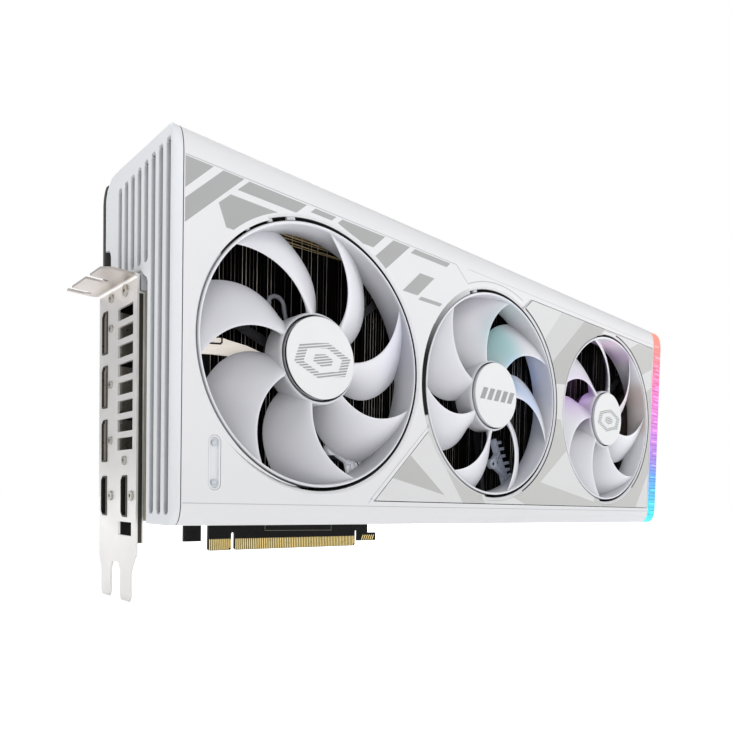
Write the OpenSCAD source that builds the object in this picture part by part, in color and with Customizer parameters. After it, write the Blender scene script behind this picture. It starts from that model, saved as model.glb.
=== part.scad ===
// Triple-fan graphics card with a two-slot bracket, a white shell and a light bar at its far end.
// Frame: X runs along the card from the bracket's outer face, Y runs from the fans (-Y) to the
// backplate (+Y) with Y = 0 on the board's component face, and Z points up from the bottom of
// the edge connector's contacts.

/* [Overall] */
// Length from the bracket's outer face to the far end
card_length = 357.6; // [357.6:0.1:360]
// Height of the shell's top above the bottom of the edge connector
top_z = 149.3; // [149:0.1:152]
// Height of the shell's underside
bottom_z = 14.2; // [13.8:0.1:14.4]
// Front face of the shell (fan side)
front_y = -64.4; // [-66:0.1:-64.4]
// Outer face of the backplate
back_y = 5.7; // [5.7:0.1:6.4]

/* [Shell] */
// Wall thickness of the front shroud
wall = 2.2; // [1.8:0.1:2.4]
// Height of the rounded band above the flat front
top_band = 10.6; // [9:0.1:11]
// Height of the rounded band below the flat front
bottom_band = 7.9; // [7:0.1:8.2]
// How far the rounded bands fall back from the front face
band_fall = 5.0; // [4:0.5:6]
// X of the seam between the end frame and the front shroud
seam_x = 4.0; // [3.8:0.1:4.2]
// X where the light bar begins on the front face
bar_x = 341.0; // [340.5:0.1:341.5]
// Y of the seam between the front shroud and the mid frame
shell_seam_y = -34; // [-36:0.5:-32]

/* [Fans] */
// Radius of the openings in the shroud
opening_r = 52.9; // [52.7:0.1:53.1]
// Outer radius of each rotor's rim
rim_r = 51.6; // [51.2:0.1:52]
// X of the first fan's axis
fan1_x = 61.0; // [60.6:0.1:61.2]
// X of the second fan's axis
fan2_x = 170.6; // [170.4:0.1:170.8]
// X of the third fan's axis
fan3_x = 283.3; // [283:0.1:284]
// Height of the three axes
fan_z = 80.8; // [80.4:0.1:81.2]
// Number of blades on each rotor
blades = 7; // [5:1:9]
// Sweep of a blade between hub and rim, in degrees
blade_sweep = 32.5; // [26:0.5:38]
// Angle a blade covers between its front and rear edge, in degrees
blade_chord = 34; // [26:1:38]
// Radius of the hub
hub_r = 18.0; // [17.6:0.1:18.2]
// Radius of the cap on the hub
cap_r = 16.7; // [16.2:0.1:16.9]
// Radius of the shaft
shaft_r = 1.5; // [1.4:0.05:1.6]
// Radial running clearance of the shaft in its bearing
run_gap = 0.05; // [0.02:0.01:0.09]

/* [Bracket] */
// Sheet thickness
bracket_t = 0.86; // [0.8:0.02:0.9]
// Back edge of the bracket
bracket_back_y = 2.73; // [2.6:0.01:2.8]
// Width over two slots
bracket_w = 38.74; // [38.6:0.01:38.8]
// Top of the bent flange
bracket_top_z = 104.5; // [104.2:0.1:104.9]
// Bottom of the locating tabs
bracket_bottom_z = -15.6; // [-16:0.1:-15.4]
// Length of the bent flange
flange_length = 11.43; // [11:0.01:11.9]
// Slot pitch of the chassis
slot_pitch = 20.32; // [20.32:0.01:20.32]

/* [Board] */
// Board thickness
board_t = 1.6; // [1.5:0.05:1.6]
// Far end of the board
board_end_x = 264; // [263:0.5:265]
// Top edge of the board
board_top_z = 137; // [136:0.5:137.5]
// Centre of the edge connector's key notch
key_x = 57.85; // [57.7:0.05:58]
// Pitch of the edge contacts
contact_pitch = 1; // [1:0.5:1]

/* [Cooler] */
// Spacing of the cooling fins
fin_pitch = 2.2; // [2:0.1:3]
// Thickness of a fin
fin_t = 0.35; // [0.25:0.05:0.5]
// Radius of a heat pipe
pipe_r = 3; // [2.5:0.1:3.2]

/* [Profile switch] */
// Travel of the profile switch's knob
switch_travel = 2.8; // [2:0.1:3]

/* [Hidden] */
$fn = 64;

// Places shared by several sections
fan_x = [fan1_x, fan2_x, fan3_x];
motor_base_y = [-49.6, -46.9];        // front and back of the motor base plates
gpu_x = 137;                          // centre of the processor
gpu_z = 81;
socket_cut_x = [206, 230.5];          // gap in the shell for the power socket
switch_cut_x = [38.5, 49.5];          // gap in the shell for the profile switch
// Board fixing holes, [x, z]
board_holes = [[9, 126], [24, 34], [66, 128], [66, 34], [206, 128], [206, 34], [252, 108], [252, 24]];
// Holes for the retention screws, [x, z]
retention_holes = [for (dx = [-34, 34]) for (dz = [-34, 34]) [gpu_x + dx, gpu_z + dz]];
// Ends of a motor base's three arms, [x, z] from the fan's axis
arm_reach = 57.2;
arm_angles = [40, 160, 280];
arm_ends = [for (a = arm_angles) [arm_reach * cos(a), arm_reach * sin(a)]];

// ---- helpers ----
// Extrudes along +X a shape drawn in Y and Z
module extrude_x(x0, x1) translate([x0, 0, 0]) rotate([90, 0, 90]) linear_extrude(x1 - x0) children();
// Extrudes along Y, from y0 to y1, a shape drawn in X and Z
module extrude_y(y0, y1) translate([0, y1, 0]) rotate([90, 0, 0]) linear_extrude(y1 - y0) children();
// Cylinder along Y
module rod_y(x, z, y0, y1, r) translate([x, y1, z]) rotate([90, 0, 0]) cylinder(h = y1 - y0, r = r);
// Cylinder along X
module rod_x(y, z, x0, x1, r) translate([x0, y, z]) rotate([0, 90, 0]) cylinder(h = x1 - x0, r = r);
// Block between its lowest and highest corners
module block(low, high) translate(low) cube(high - low);
// Screw along Y with a socket in its +Y head
module screw_y(x, z, head_y0, head_y1, head_r, tip_y, thread_r) difference() {
  union() {
    rod_y(x, z, head_y0, head_y1, head_r);
    rod_y(x, z, tip_y, head_y1 - 0.1, thread_r);
  }
  rod_y(x, z, head_y1 - 0.5, head_y1 + 1, head_r * 0.4);
}
// Points on an ellipse from angle a0 to a1, in n steps
function arc(cx, cy, rx, ry, a0, a1, n) =
  [for (i = [0 : n]) let (a = a0 + (a1 - a0) * i / n) [cx + rx * cos(a), cy + ry * sin(a)]];
// Rectangle with rounded corners, from (x0, y0) to (x1, y1)
function rounded_rect(x0, y0, x1, y1, r, n = 5) = concat(
  arc(x1 - r, y1 - r, r, r, 0, 90, n), arc(x0 + r, y1 - r, r, r, 90, 180, n),
  arc(x0 + r, y0 + r, r, r, 180, 270, n), arc(x1 - r, y0 + r, r, r, 270, 360, n));
// Rounded square around the processor
function gpu_square(half, r) = rounded_rect(gpu_x - half, gpu_z - half, gpu_x + half, gpu_z + half, r);
// Points turned by an angle about the origin
function turned(points, a) =
  [for (p = points) [p[0] * cos(a) - p[1] * sin(a), p[0] * sin(a) + p[1] * cos(a)]];
// Section of the shell in Y and Z, shrunk by inset, ending at y1 on its +Y side
function shell_section(inset, y1) = let (arc_y = front_y + inset + band_fall) concat(
  [[y1, bottom_z + inset]],
  arc(arc_y, bottom_z + bottom_band, band_fall, bottom_band - inset, 270, 180, 8),
  arc(arc_y, top_z - top_band, band_fall, top_band - inset, 180, 90, 8),
  [[y1, top_z - inset]]);

// ---- bracket ----
bracket_front_y = bracket_back_y - bracket_w;
video_z = [88.2, 67.0, 45.8];         // heights of the video sockets
media_y = [-3.2, -24.5];              // the two media sockets, side by side
media_z = 24;
// Screws on the bracket's face, [y, z, head radius]
bracket_screw_at = [
  [-25.2, 100.4, 2.2], [-10.8, 100.4, 1.7], [-10.8, 88.8, 1.5], [-10.6, 67.2, 1.5],
  [-10.6, 45.6, 1.5], [-25.3, 37.4, 1.7], [-10.9, 24.1, 1.9], [-31.9, 24.2, 1.9]
];

// Face with the two tapered locating tabs, [y, z]
module bracket_face() {
  back = bracket_back_y;
  low = bracket_bottom_z;
  polygon([
    [back, bracket_top_z], [back, 0], [back - 2.9, -5.5], [back - 2.9, low + 2],
    [back - 4.4, low], [back - 11.5, low], [back - 13, low + 2], [back - 13, -4.5],
    [back - 15, -1.5], [back - 21.2, -1.5], [back - 23.2, -4.5], [back - 23.2, low + 2],
    [back - 24.7, low], [back - 31.9, low], [back - 33.4, low + 2], [back - 33.4, -4.5],
    [bracket_front_y + 1.6, 1], [bracket_front_y, 2.5], [bracket_front_y, bracket_top_z]
  ]);
}
// Plan of the bent flange, [x, y]
module flange_plan() polygon([
  [0.4, bracket_front_y], [0.4, bracket_back_y], [-3.2, bracket_back_y + 1.6],
  [-flange_length, bracket_back_y + 1.6], [-flange_length, bracket_front_y + 3],
  [-flange_length + 3, bracket_front_y]
]);
// Openings for the video and media sockets
module bracket_ports() {
  for (z = video_z) extrude_x(-1, 2)
    polygon([[-0.8, z - 8.4], [-0.8, z + 6.6], [-2.4, z + 8.4], [-6.6, z + 8.4], [-6.6, z - 8.4]]);
  for (y = media_y) extrude_x(-1, 2) polygon([
    [y - 3, media_z - 7.9], [y - 3, media_z + 7.9], [y + 1.4, media_z + 7.9],
    [y + 3, media_z + 6.2], [y + 3, media_z - 6.2], [y + 1.4, media_z - 7.9]
  ]);
}
module io_bracket() color([0.84, 0.83, 0.81]) difference() {
  flange_z = bracket_top_z - bracket_t;
  union() {
    extrude_x(0, bracket_t) bracket_face();
    translate([0, 0, flange_z]) linear_extrude(bracket_t) flange_plan();
    // fillet inside the bend
    extrude_y(bracket_front_y, bracket_back_y) polygon(concat(
      [[0.2, flange_z + 0.2], [0.2, flange_z - 1]],
      arc(-1, flange_z - 1, 1, 1, 0, 90, 5),
      [[-1, flange_z + 0.2]]));
    // return along the front edge
    block([0.4, bracket_front_y, 6.7], [2.8, bracket_front_y + bracket_t, 98.4]);
  }
  // screw notches, open towards the flange's outer edge
  for (k = [0, 1])
    translate([-flange_length + 5.2, bracket_back_y - 2.2 - k * slot_pitch, bracket_top_z - 3]) {
      cylinder(h = 6, r = 2.2);
      translate([-9, -2.2, 0]) cube([9, 4.4, 6]);
    }
  bracket_ports();
  // vents and window
  for (k = [0 : 7]) block([-1, -32.4, 90.4 - 7 * k], [2, -17.4, 95.1 - 7 * k]);
  block([-1, -31.7, 9.2], [2, -18.5, 14.3]);
  for (s = bracket_screw_at) rod_x(s[0], s[1], -1, 2, s[2] * 0.5 + 0.05);
}
module bracket_screws() color([0.86, 0.85, 0.83]) for (s = bracket_screw_at) difference() {
  union() {
    rod_x(s[0], s[1], -0.75, -0.02, s[2]);
    rod_x(s[0], s[1], -0.4, bracket_t + 0.3, s[2] * 0.5);
  }
  rod_x(s[0], s[1], -1.2, -0.3, s[2] * 0.34);
}

// ---- board ----
// Outline in X and Z, from the bracket end along the bottom edge and back over the top
module board_outline() polygon([
  [1.6, 6.6], [13.2, 6.6], [13.2, 15], [34.3, 15], [34.3, 4.4], [42.2, 4.4], [42.2, 15],
  // edge connector with its key notch
  [key_x - 12.1, 15], [key_x - 12.1, 0.7], [key_x - 11.4, 0], [key_x - 1.65, 0],
  [key_x - 0.95, 0.7], [key_x - 0.95, 7.4], [key_x - 0.6, 8.2], [key_x + 0.6, 8.2],
  [key_x + 0.95, 7.4], [key_x + 0.95, 0.7], [key_x + 1.65, 0], [key_x + 71.45, 0],
  // hook behind the connector
  [key_x + 72.15, 0.7], [key_x + 72.15, 8.1], [key_x + 74.1, 8.1], [key_x + 74.1, 2.6],
  [key_x + 86.8, 2.6], [key_x + 86.8, 6.9], [key_x + 80.9, 6.9], [key_x + 80.9, 15],
  [board_end_x, 15], [board_end_x, 118], [board_end_x - 18, board_top_z],
  [4.3, board_top_z], [4.3, 104], [1.6, 104]
]);
module pcb() color([0.13, 0.13, 0.13]) difference() {
  extrude_y(0, board_t) board_outline();
  for (h = board_holes) rod_y(h[0], h[1], -1, 3, 1.6);
  for (h = retention_holes) rod_y(h[0], h[1], -1, 3, 1.9);
}
// Contacts on both faces, 11 before the key notch and 71 after it
contact_x = concat(
  [for (i = [0 : 10]) key_x - 1.5 - i * contact_pitch],
  [for (i = [0 : 70]) key_x + 1.5 + i * contact_pitch]);
module edge_contacts() color([0.85, 0.68, 0.3])
  for (y = [-0.06, board_t + 0.01]) for (x = contact_x)
    block([x - 0.35, y, 0.9], [x + 0.35, y + 0.05, 5.3]);

// ---- sockets ----
// Video socket section in Y and Z
module video_section(inset) polygon([
  [-0.9 - inset, -8.2 + inset], [-0.9 - inset, 6.5 - inset * 0.7],
  [-2.5 - inset * 0.7, 8.2 - inset], [-6.4 + inset, 8.2 - inset], [-6.4 + inset, -8.2 + inset]
]);
module video_port_shells() color([0.75, 0.73, 0.68])
  for (z = video_z) translate([0, 0, z]) difference() {
    union() {
      extrude_x(-0.35, 18) video_section(0);
      block([2.2, -6.4, -8.8], [18, -0.12, 8.8]);
    }
    extrude_x(-1, 16.5) video_section(0.45);
  }
module video_port_tongues() color([0.1, 0.1, 0.1]) for (z = video_z) translate([0, 0, z]) union() {
  block([0.8, -4.4, -5.6], [16.4, -3.2, 5.6]);
  block([14.6, -5.5, -6.6], [16.4, -1.9, 4.9]);
}
// Media socket section in Y and Z
module media_section(inset) polygon([
  [-2.85 + inset, -7.75 + inset], [-2.85 + inset, 7.75 - inset],
  [1.3 - inset * 0.6, 7.75 - inset], [2.85 - inset, 6.1 - inset * 0.6],
  [2.85 - inset, -6.1 + inset * 0.6], [1.3 - inset * 0.6, -7.75 + inset]
]);
// Shell at y, its block reaching block_back behind the centre; children join before hollowing
module media_port_shell(y, block_back) translate([0, y, media_z]) difference() {
  union() {
    extrude_x(-0.3, 14) media_section(0);
    block([2.2, -2.85, -8.2], [14, block_back, 8.2]);
    children();
  }
  extrude_x(-1, 12.5) media_section(0.45);
}
module media_port_shells() color([0.16, 0.16, 0.16]) union() {
  media_port_shell(media_y[0], 3.05);
  // the socket nearer the fans has a block reaching towards the other one
  media_port_shell(media_y[1], 2.95) block([3.2, 2.9, -8.2], [14, 17.4, 8.2]);
}
module media_port_tongues() color([0.08, 0.08, 0.08])
  for (y = media_y) translate([0, y, media_z]) union() {
    block([0.7, -0.6, -5.6], [12.4, 0.6, 5.6]);
    block([11, -2.2, -6.4], [12.4, 1.2, 6.4]);
  }

// ---- end frame ----
frame_x0 = 1.3;                       // outer face of the ribbed end frame
frame_x1 = seam_x - 0.04;
frame_edge_y = -42;                   // edge of the end frame beside the bracket
groove_half_w = 1.45;
// Upright grooves: five short ones above the bracket, three long ones in front of it
module frame_grooves() for (k = [0 : 7]) {
  y = -15.1 - 6.27 * k;
  z0 = k < 5 ? 107.5 : 17.8;
  arc_z = 141.6 + 0.5 * k - 1.4;
  extrude_x(frame_x0 - 1, frame_x0 + 1.75) polygon(concat(
    [[y + groove_half_w, z0], [y + groove_half_w, arc_z]],
    arc(y, arc_z, groove_half_w, 1.4, 0, 180, 6),
    [[y - groove_half_w, arc_z], [y - groove_half_w, z0]]));
}
// Side outline in Y and Z: full height in front of the bracket, only its upper part behind
module frame_side() polygon(concat(
  [[frame_edge_y, bottom_z], [frame_edge_y, 99.5], [frame_edge_y + 1.2, 102.2],
   [frame_edge_y + 4, 103.6], [frame_edge_y + 7, 105.6], [1.0, 105.6], [1.0, 141],
   [-1.5, 146], [-6, top_z - 0.3], [-14, top_z]],
  arc(front_y + band_fall, top_z - top_band, band_fall, top_band, 90, 180, 8),
  arc(front_y + band_fall, bottom_z + bottom_band, band_fall, bottom_band, 180, 270, 8)));
module end_frame() color([0.9, 0.9, 0.91]) difference() {
  intersection() {
    extrude_x(frame_x0, frame_x1) frame_side();
    // plan outline with a rounded front corner
    linear_extrude(160) polygon(concat(
      [[frame_x0, 2]],
      arc(frame_x1, front_y + 2.7, frame_x1 - frame_x0, 2.7, 180, 270, 6),
      [[frame_x1, 2]]));
  }
  frame_grooves();
  // relief slot above the bracket
  extrude_x(frame_x0 - 1, seam_x + 1) polygon(concat(
    [[-0.2, 105], [-0.2, 121]], arc(-0.2, 117.2, 5.6, 4.6, 90, 180, 6), [[-5.8, 105]]));
}

// ---- front shroud ----
inlay_x = 16.2;                       // centre of the slot inlay
inlay_z = 36.6;
inlay_half_w = 2.35;
inlay_half_h = 9.75;
inlay_pin_z = [inlay_z - 7.4, inlay_z + 7.4];
shroud_screw_x = [12, 332];
shroud_screw_y = -48;

function inlay_outline(gap, r) = rounded_rect(
  inlay_x - inlay_half_w + gap, inlay_z - inlay_half_h + gap,
  inlay_x + inlay_half_w - gap, inlay_z + inlay_half_h - gap, r, 8);
// Accent area in X and Z, drawn in by a gap all round
module accent_area(gap) difference() {
  polygon([
    [89 + 2.4 * gap, 24.3 + gap], [bar_x - 0.9 - gap, 24.3 + gap],
    [bar_x - 0.9 - gap, 136.4 - gap], [198.6 + 0.5 * gap, 136.4 - gap],
    [191 + gap, 129.5 - gap], [175, 100], [150, 70], [123.2 + gap, 59.7 - gap]
  ]);
  for (x = fan_x) translate([x, fan_z]) circle(r = opening_r + 1.7 + gap);
}
module front_shroud() color([0.9, 0.9, 0.91]) difference() {
  union() {
    extrude_x(seam_x + 0.04, bar_x - 0.05) difference() {
      polygon(shell_section(0, shell_seam_y));
      polygon(shell_section(wall, shell_seam_y + 1));
    }
    // ducts behind the openings and bosses for the fan screws
    for (x = fan_x) {
      rod_y(x, fan_z, front_y + 1, motor_base_y[0] - 0.1, opening_r + 1.05);
      for (p = arm_ends) rod_y(x + p[0], fan_z + p[1], front_y + 1, motor_base_y[0] - 0.1, 2.6);
    }
  }
  for (x = fan_x) {
    rod_y(x, fan_z, front_y - 1, -48, opening_r);
    // chamfer around each opening
    translate([x, front_y - 0.01, fan_z]) rotate([-90, 0, 0])
      cylinder(h = 1.1, r1 = opening_r + 1.4, r2 = opening_r);
    for (p = arm_ends) rod_y(x + p[0], fan_z + p[1], -58, -48, 0.95);
  }
  // recesses for the slot inlay and the accent panel
  extrude_y(front_y - 1, front_y + 1.3) polygon(inlay_outline(0, inlay_half_w - 0.01));
  extrude_y(front_y - 1, front_y + 1) accent_area(0);
  // screw holes through the underside and the top
  for (x = shroud_screw_x) for (z = [bottom_z - 1, top_z - 4])
    translate([x, shroud_screw_y, z]) cylinder(h = 5, r = 1.3);
}
module accent_panel() color([0.82, 0.82, 0.83])
  extrude_y(front_y + 0.1, front_y + 0.95) accent_area(0.15);
module slot_inlay() color([0.88, 0.89, 0.9]) extrude_y(front_y + 0.7, front_y + 1.25) difference() {
  polygon(inlay_outline(0.1, inlay_half_w - 0.12));
  for (z = inlay_pin_z) translate([inlay_x, z]) circle(r = 1.05);
}
module slot_pins() color([0.8, 0.82, 0.86])
  for (z = inlay_pin_z) rod_y(inlay_x, z, front_y + 0.3, front_y + 1.25, 1.0);
module shroud_screws() color([0.6, 0.6, 0.62])
  for (x = shroud_screw_x) for (z = [bottom_z + 0.1, top_z - 1.7])
    translate([x, shroud_screw_y, z]) cylinder(h = 1.6, r = 1.25);

// ---- mid frame and far end ----
rail_y0 = shell_seam_y + 0.1;
rail_y1 = -2.4;
rail_t = 2.2;
rail_end_x = card_length - 2.3;
far_y0 = -39.8;                       // front edge of the far end, behind the light bar
vent_pitch = 43;

// Cut through the shell's top over an X span
module top_cut(span, y0, y1) block([span[0], y0, top_z - 5], [span[1], y1, top_z + 1]);
// Top and bottom rails between the front shroud and the backplate
module mid_frame() color([0.86, 0.86, 0.87]) difference() {
  union() {
    block([19.5, rail_y0, bottom_z], [rail_end_x, rail_y1, bottom_z + rail_t]);
    block([seam_x + 0.04, rail_y0, top_z - rail_t], [rail_end_x, rail_y1, top_z]);
    // wider ends behind the light bar
    for (z = [bottom_z, top_z - rail_t])
      block([bar_x + 0.05, far_y0, z], [rail_end_x, rail_y0 + 1, z + rail_t]);
    // posts that tie the rails together
    for (x = [20, 345]) block([x, rail_y0 + 1, bottom_z + 1], [x + 2.5, rail_y0 + 7, top_z - 1]);
  }
  // vents along the top, with none at the power socket, and along the bottom
  for (k = [0 : 6]) let (x = 26 + vent_pitch * k) {
    if (k != 4) extrude_y(-29, -12)
      polygon([[x, top_z - 5], [x + 32, top_z - 5], [x + 40, top_z + 1], [x, top_z + 1]]);
    block([x, -29, bottom_z - 1], [x + 36, -12, bottom_z + 4]);
  }
  top_cut(socket_cut_x, -13, 0);
  top_cut(switch_cut_x, -6, 0);
}
module far_end_cover() color([0.88, 0.88, 0.89]) difference() {
  extrude_x(card_length - 2.2, card_length) polygon([
    [far_y0, bottom_z + 0.4], [3.9, bottom_z + 2.5], [3.9, top_z - 2.5], [far_y0, top_z - 0.4]
  ]);
  for (k = [0 : 8]) block([card_length - 5, -32, 30 + 12 * k], [card_length + 2, -8, 36 + 12 * k]);
}

// ---- backplate ----
// Slot of width w and height h whose top is shifted by lean
module slanted_slot(x, z, w, h, lean) polygon([[x, z], [x + w, z], [x + w + lean, z + h], [x + lean, z + h]]);
module backplate_outline() polygon([
  [seam_x + 0.1, bottom_z + 3.2], [130, bottom_z + 3.2], [134, bottom_z + 1.2],
  [card_length - 6, bottom_z + 1.2], [card_length - 0.4, bottom_z + 7],
  [card_length - 0.4, top_z - 8], [card_length - 7, top_z - 0.6],
  [seam_x + 9, top_z - 0.6], [seam_x + 0.1, top_z - 7]
]);
module backplate() color([0.88, 0.88, 0.89]) difference() {
  union() {
    extrude_y(back_y - 1.6, back_y) backplate_outline();
    // flange along the top edge
    block([seam_x + 12, -2.1, top_z - 2.2], [card_length - 12, back_y - 1, top_z - 0.6]);
  }
  // tall vents beyond the board
  for (k = [0 : 7]) extrude_y(0, 9) slanted_slot(274 + 9 * k, 34, 5, 84, 8);
  // row of small vents
  for (k = [0 : 8]) extrude_y(0, 9) slanted_slot(24 + 8 * k, 102, 4, 17, 4);
  // opening around the retention plate
  extrude_y(0, 9) polygon(gpu_square(40, 5));
  // counterbored holes
  for (h = board_holes) {
    rod_y(h[0], h[1], 0, 9, 1.5);
    rod_y(h[0], h[1], back_y - 0.9, 9, 2.9);
  }
  top_cut(socket_cut_x, -3, 2.5);
  top_cut(switch_cut_x, -3, 0.2);
}
module backplate_screws() color([0.6, 0.6, 0.62])
  for (h = board_holes) screw_y(h[0], h[1], back_y - 0.85, back_y - 0.1, 2.7, -5, 1.2);
// Spacers behind and in front of the board at each fixing hole
module standoffs() color([0.72, 0.6, 0.3]) for (h = board_holes) {
  difference() {
    rod_y(h[0], h[1], board_t + 0.02, back_y - 1.65, 2.7);
    rod_y(h[0], h[1], 0, 9, 1.3);
  }
  difference() {
    rod_y(h[0], h[1], -7.5, -0.02, 2.7);
    rod_y(h[0], h[1], -5.5, 1, 1.3);
  }
}
// Rounded square with two crossed diagonal bars
module retention_plate() color([0.45, 0.46, 0.48])
  extrude_y(board_t + 0.5, board_t + 1.7) difference() {
    union() {
      polygon(gpu_square(17, 4));
      for (s = [-1, 1]) polygon([
        [gpu_x - s * 31, gpu_z - 38], [gpu_x - s * 38, gpu_z - 31],
        [gpu_x + s * 31, gpu_z + 38], [gpu_x + s * 38, gpu_z + 31]
      ]);
    }
    for (h = retention_holes) translate([h[0], h[1]]) circle(r = 1.6);
    translate([gpu_x, gpu_z]) circle(r = 9);
  }
module retention_screws() color([0.7, 0.7, 0.72])
  for (h = retention_holes) screw_y(h[0], h[1], board_t + 1.72, board_t + 3.4, 2.7, -7, 1.45);

// ---- board components ----
// Memory chips around the processor, [centre x, centre z, width, height]
memory_at = concat(
  [for (s = [-1, 1]) for (k = [-1 : 1]) [gpu_x + 33 * s, gpu_z + 15 * k, 14, 12]],
  [for (s = [-1, 1]) for (k = [-1 : 1]) [gpu_x + 15 * k, gpu_z + 35 * s, 12, 14]]);
// Heights shared by the columns of power parts
power_z = [for (k = [0 : 8]) 30 + 11.5 * k];

// Block over a memory chip, drawn in by an inset
module over_chip(chip, inset, y0, y1) {
  half_w = chip[2] / 2 - inset;
  half_h = chip[3] / 2 - inset;
  block([chip[0] - half_w, y0, chip[1] - half_h], [chip[0] + half_w, y1, chip[1] + half_h]);
}
// Block centred on the processor
module over_gpu(half_w, half_h, y0, y1)
  block([gpu_x - half_w, y0, gpu_z - half_h], [gpu_x + half_w, y1, gpu_z + half_h]);
module memory_chips() color([0.1, 0.1, 0.1]) for (m = memory_at) over_chip(m, 0, -1.1, -0.03);
module thermal_pads() color([0.55, 0.6, 0.65]) for (m = memory_at) over_chip(m, 0.6, -2.12, -1.13);
module gpu_substrate() color([0.15, 0.3, 0.2]) over_gpu(24, 24, -1.2, -0.03);
module gpu_die() color([0.35, 0.36, 0.4]) over_gpu(12, 12.5, -2.1, -1.23);
module inductors() color([0.3, 0.3, 0.31])
  for (x = [78, 188]) for (z = power_z) block([x - 4, -6.4, z - 4], [x + 4, -0.05, z + 4]);
module power_stages() color([0.12, 0.12, 0.12])
  for (x = [87.5, 197]) for (z = power_z) block([x - 2.5, -0.95, z - 3], [x + 2.5, -0.04, z + 3]);
module capacitors() color([0.7, 0.7, 0.72])
  for (x = [57, 216]) for (z = power_z) if (z < 118) difference() {
    rod_y(x, z, -8, -0.05, 3.2);
    rod_y(x, z, -9, -7.8, 2.4);
  }

// ---- cooler ----
fin_y0 = -44;                         // front of the fin stack
pipe_y = -15;
pipe_z = [for (k = [0 : 6]) 40 + 13.6 * k];
pipe_x = [20.5, 340];                 // ends of the pipes' straight part
pipe_hole_r = pipe_r + 0.03;
plate_x = [97, 177];                  // ends of the cold plate

// Fin in Y and Z, reaching back to y1
module fin_outline(y1) polygon([
  [fin_y0, 24], [fin_y0 + 5, 18.6], [y1, 18.6], [y1, 145], [fin_y0 + 5, 145], [fin_y0, 139]
]);
module pierced_fin(y1) difference() {
  fin_outline(y1);
  for (z = pipe_z) translate([pipe_y, z]) circle(r = pipe_hole_r);
}
// Repeats a fin shape from x0 to x1
module fin_run(x0, x1) for (i = [0 : floor((x1 - x0) / fin_pitch)])
  extrude_x(x0 + i * fin_pitch, x0 + i * fin_pitch + fin_t) children();
module heatsink_fins() color([0.08, 0.08, 0.08]) {
  fin_run(24, 91.5) pierced_fin(-11.2);
  // in front of the cold plate
  fin_run(plate_x[0], plate_x[1]) fin_outline(-19.6);
  fin_run(182.6, 257) pierced_fin(-11.2);
  // beyond the board
  fin_run(266.5, 337) pierced_fin(2.6);
}
module heat_pipes() color([0.72, 0.7, 0.66]) for (z = pipe_z) union() {
  rod_x(pipe_y, z, pipe_x[0], pipe_x[1], pipe_r);
  // tapered ends
  translate([pipe_x[1] - 0.1, pipe_y, z]) rotate([0, 90, 0]) cylinder(h = 2.2, r1 = pipe_r, r2 = 1);
  translate([pipe_x[0] + 0.1, pipe_y, z]) rotate([0, -90, 0]) cylinder(h = 2.2, r1 = pipe_r, r2 = 1);
}
module cold_plate() color([0.78, 0.62, 0.52]) difference() {
  block([plate_x[0], -19.4, gpu_z - 46], [plate_x[1], -2.15, gpu_z + 46]);
  for (z = pipe_z) rod_x(pipe_y, z, plate_x[0] - 1, plate_x[1] + 1, pipe_hole_r);
  // relief of the back face, leaving pads over the processor and the memory chips
  difference() {
    block([plate_x[0] - 1, -3.9, gpu_z - 47], [plate_x[1] + 1, 0, gpu_z + 47]);
    over_gpu(16, 16, -5, 1);
    for (m = memory_at) over_chip(m, 0.5, -5, 1);
  }
  for (h = retention_holes) rod_y(h[0], h[1], -7.5, 0, 1.5);
}

// ---- power socket and switch ----
pin_pitch = 2.95;
pin_row_pitch = 4.2;
switch_x = 42;
knob_half_w = 1.2;

module power_socket() color([0.07, 0.07, 0.07]) difference() {
  union() {
    block([209, -10.4, 122], [227.6, -0.1, 146.2]);
    block([214, -11.1, 134], [222.6, -10.2, 146.2]);
  }
  for (k = [0 : 5]) for (row = [0, 1]) translate([pin_pitch * k, -pin_row_pitch * row, 0])
    block([210.2, -5, 134], [212.3, -2.2, 150]);
}
module power_socket_pins() color([0.8, 0.7, 0.4])
  for (k = [0 : 5]) for (row = [0, 1]) translate([pin_pitch * k, -pin_row_pitch * row, 0])
    block([210.85, -4, 134.05], [211.65, -3.2, 144]);
module switch_body() color([0.12, 0.12, 0.12]) difference() {
  block([switch_x - 2.4, -4.4, 131], [switch_x + 5.6, -0.1, 142]);
  // track for the knob
  block([switch_x - knob_half_w - 0.12, -3.3, 136],
    [switch_x + knob_half_w + switch_travel + 0.2, -1.3, 143]);
}
module switch_knob() color([0.85, 0.85, 0.86])
  block([switch_x - knob_half_w, -3.2, 136.2], [switch_x + knob_half_w, -1.4, 148.4]);

// ---- fan rotors ----
rotor_y0 = front_y + 1.2;             // front of the hub cap

// Sweep angle at radius r; the cubic adds up to 32.46 degrees at radius 52
function sweep_at(r, dir) = let (s = (r - 17) / 35)
  dir * blade_sweep / 32.46 * (10.43 * s + 28.13 * s * s - 6.1 * s * s * s);
// Point on a blade's edge; side is 1 or -1
function blade_point(r, dir, side) = let (a = sweep_at(r, dir) + side * 80 / r) [r * cos(a), r * sin(a)];
// Swept strip between hub and rim
module blade_strip(dir) {
  steps = 6;
  r0 = hub_r - 0.9;
  r1 = rim_r - 0.9;
  radii = [for (i = [0 : steps]) r0 + (r1 - r0) * i / steps];
  polygon(concat(
    [for (i = [0 : steps]) blade_point(radii[i], dir, 1)],
    [for (i = [steps : -1 : 0]) blade_point(radii[i], dir, -1)]));
}
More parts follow.
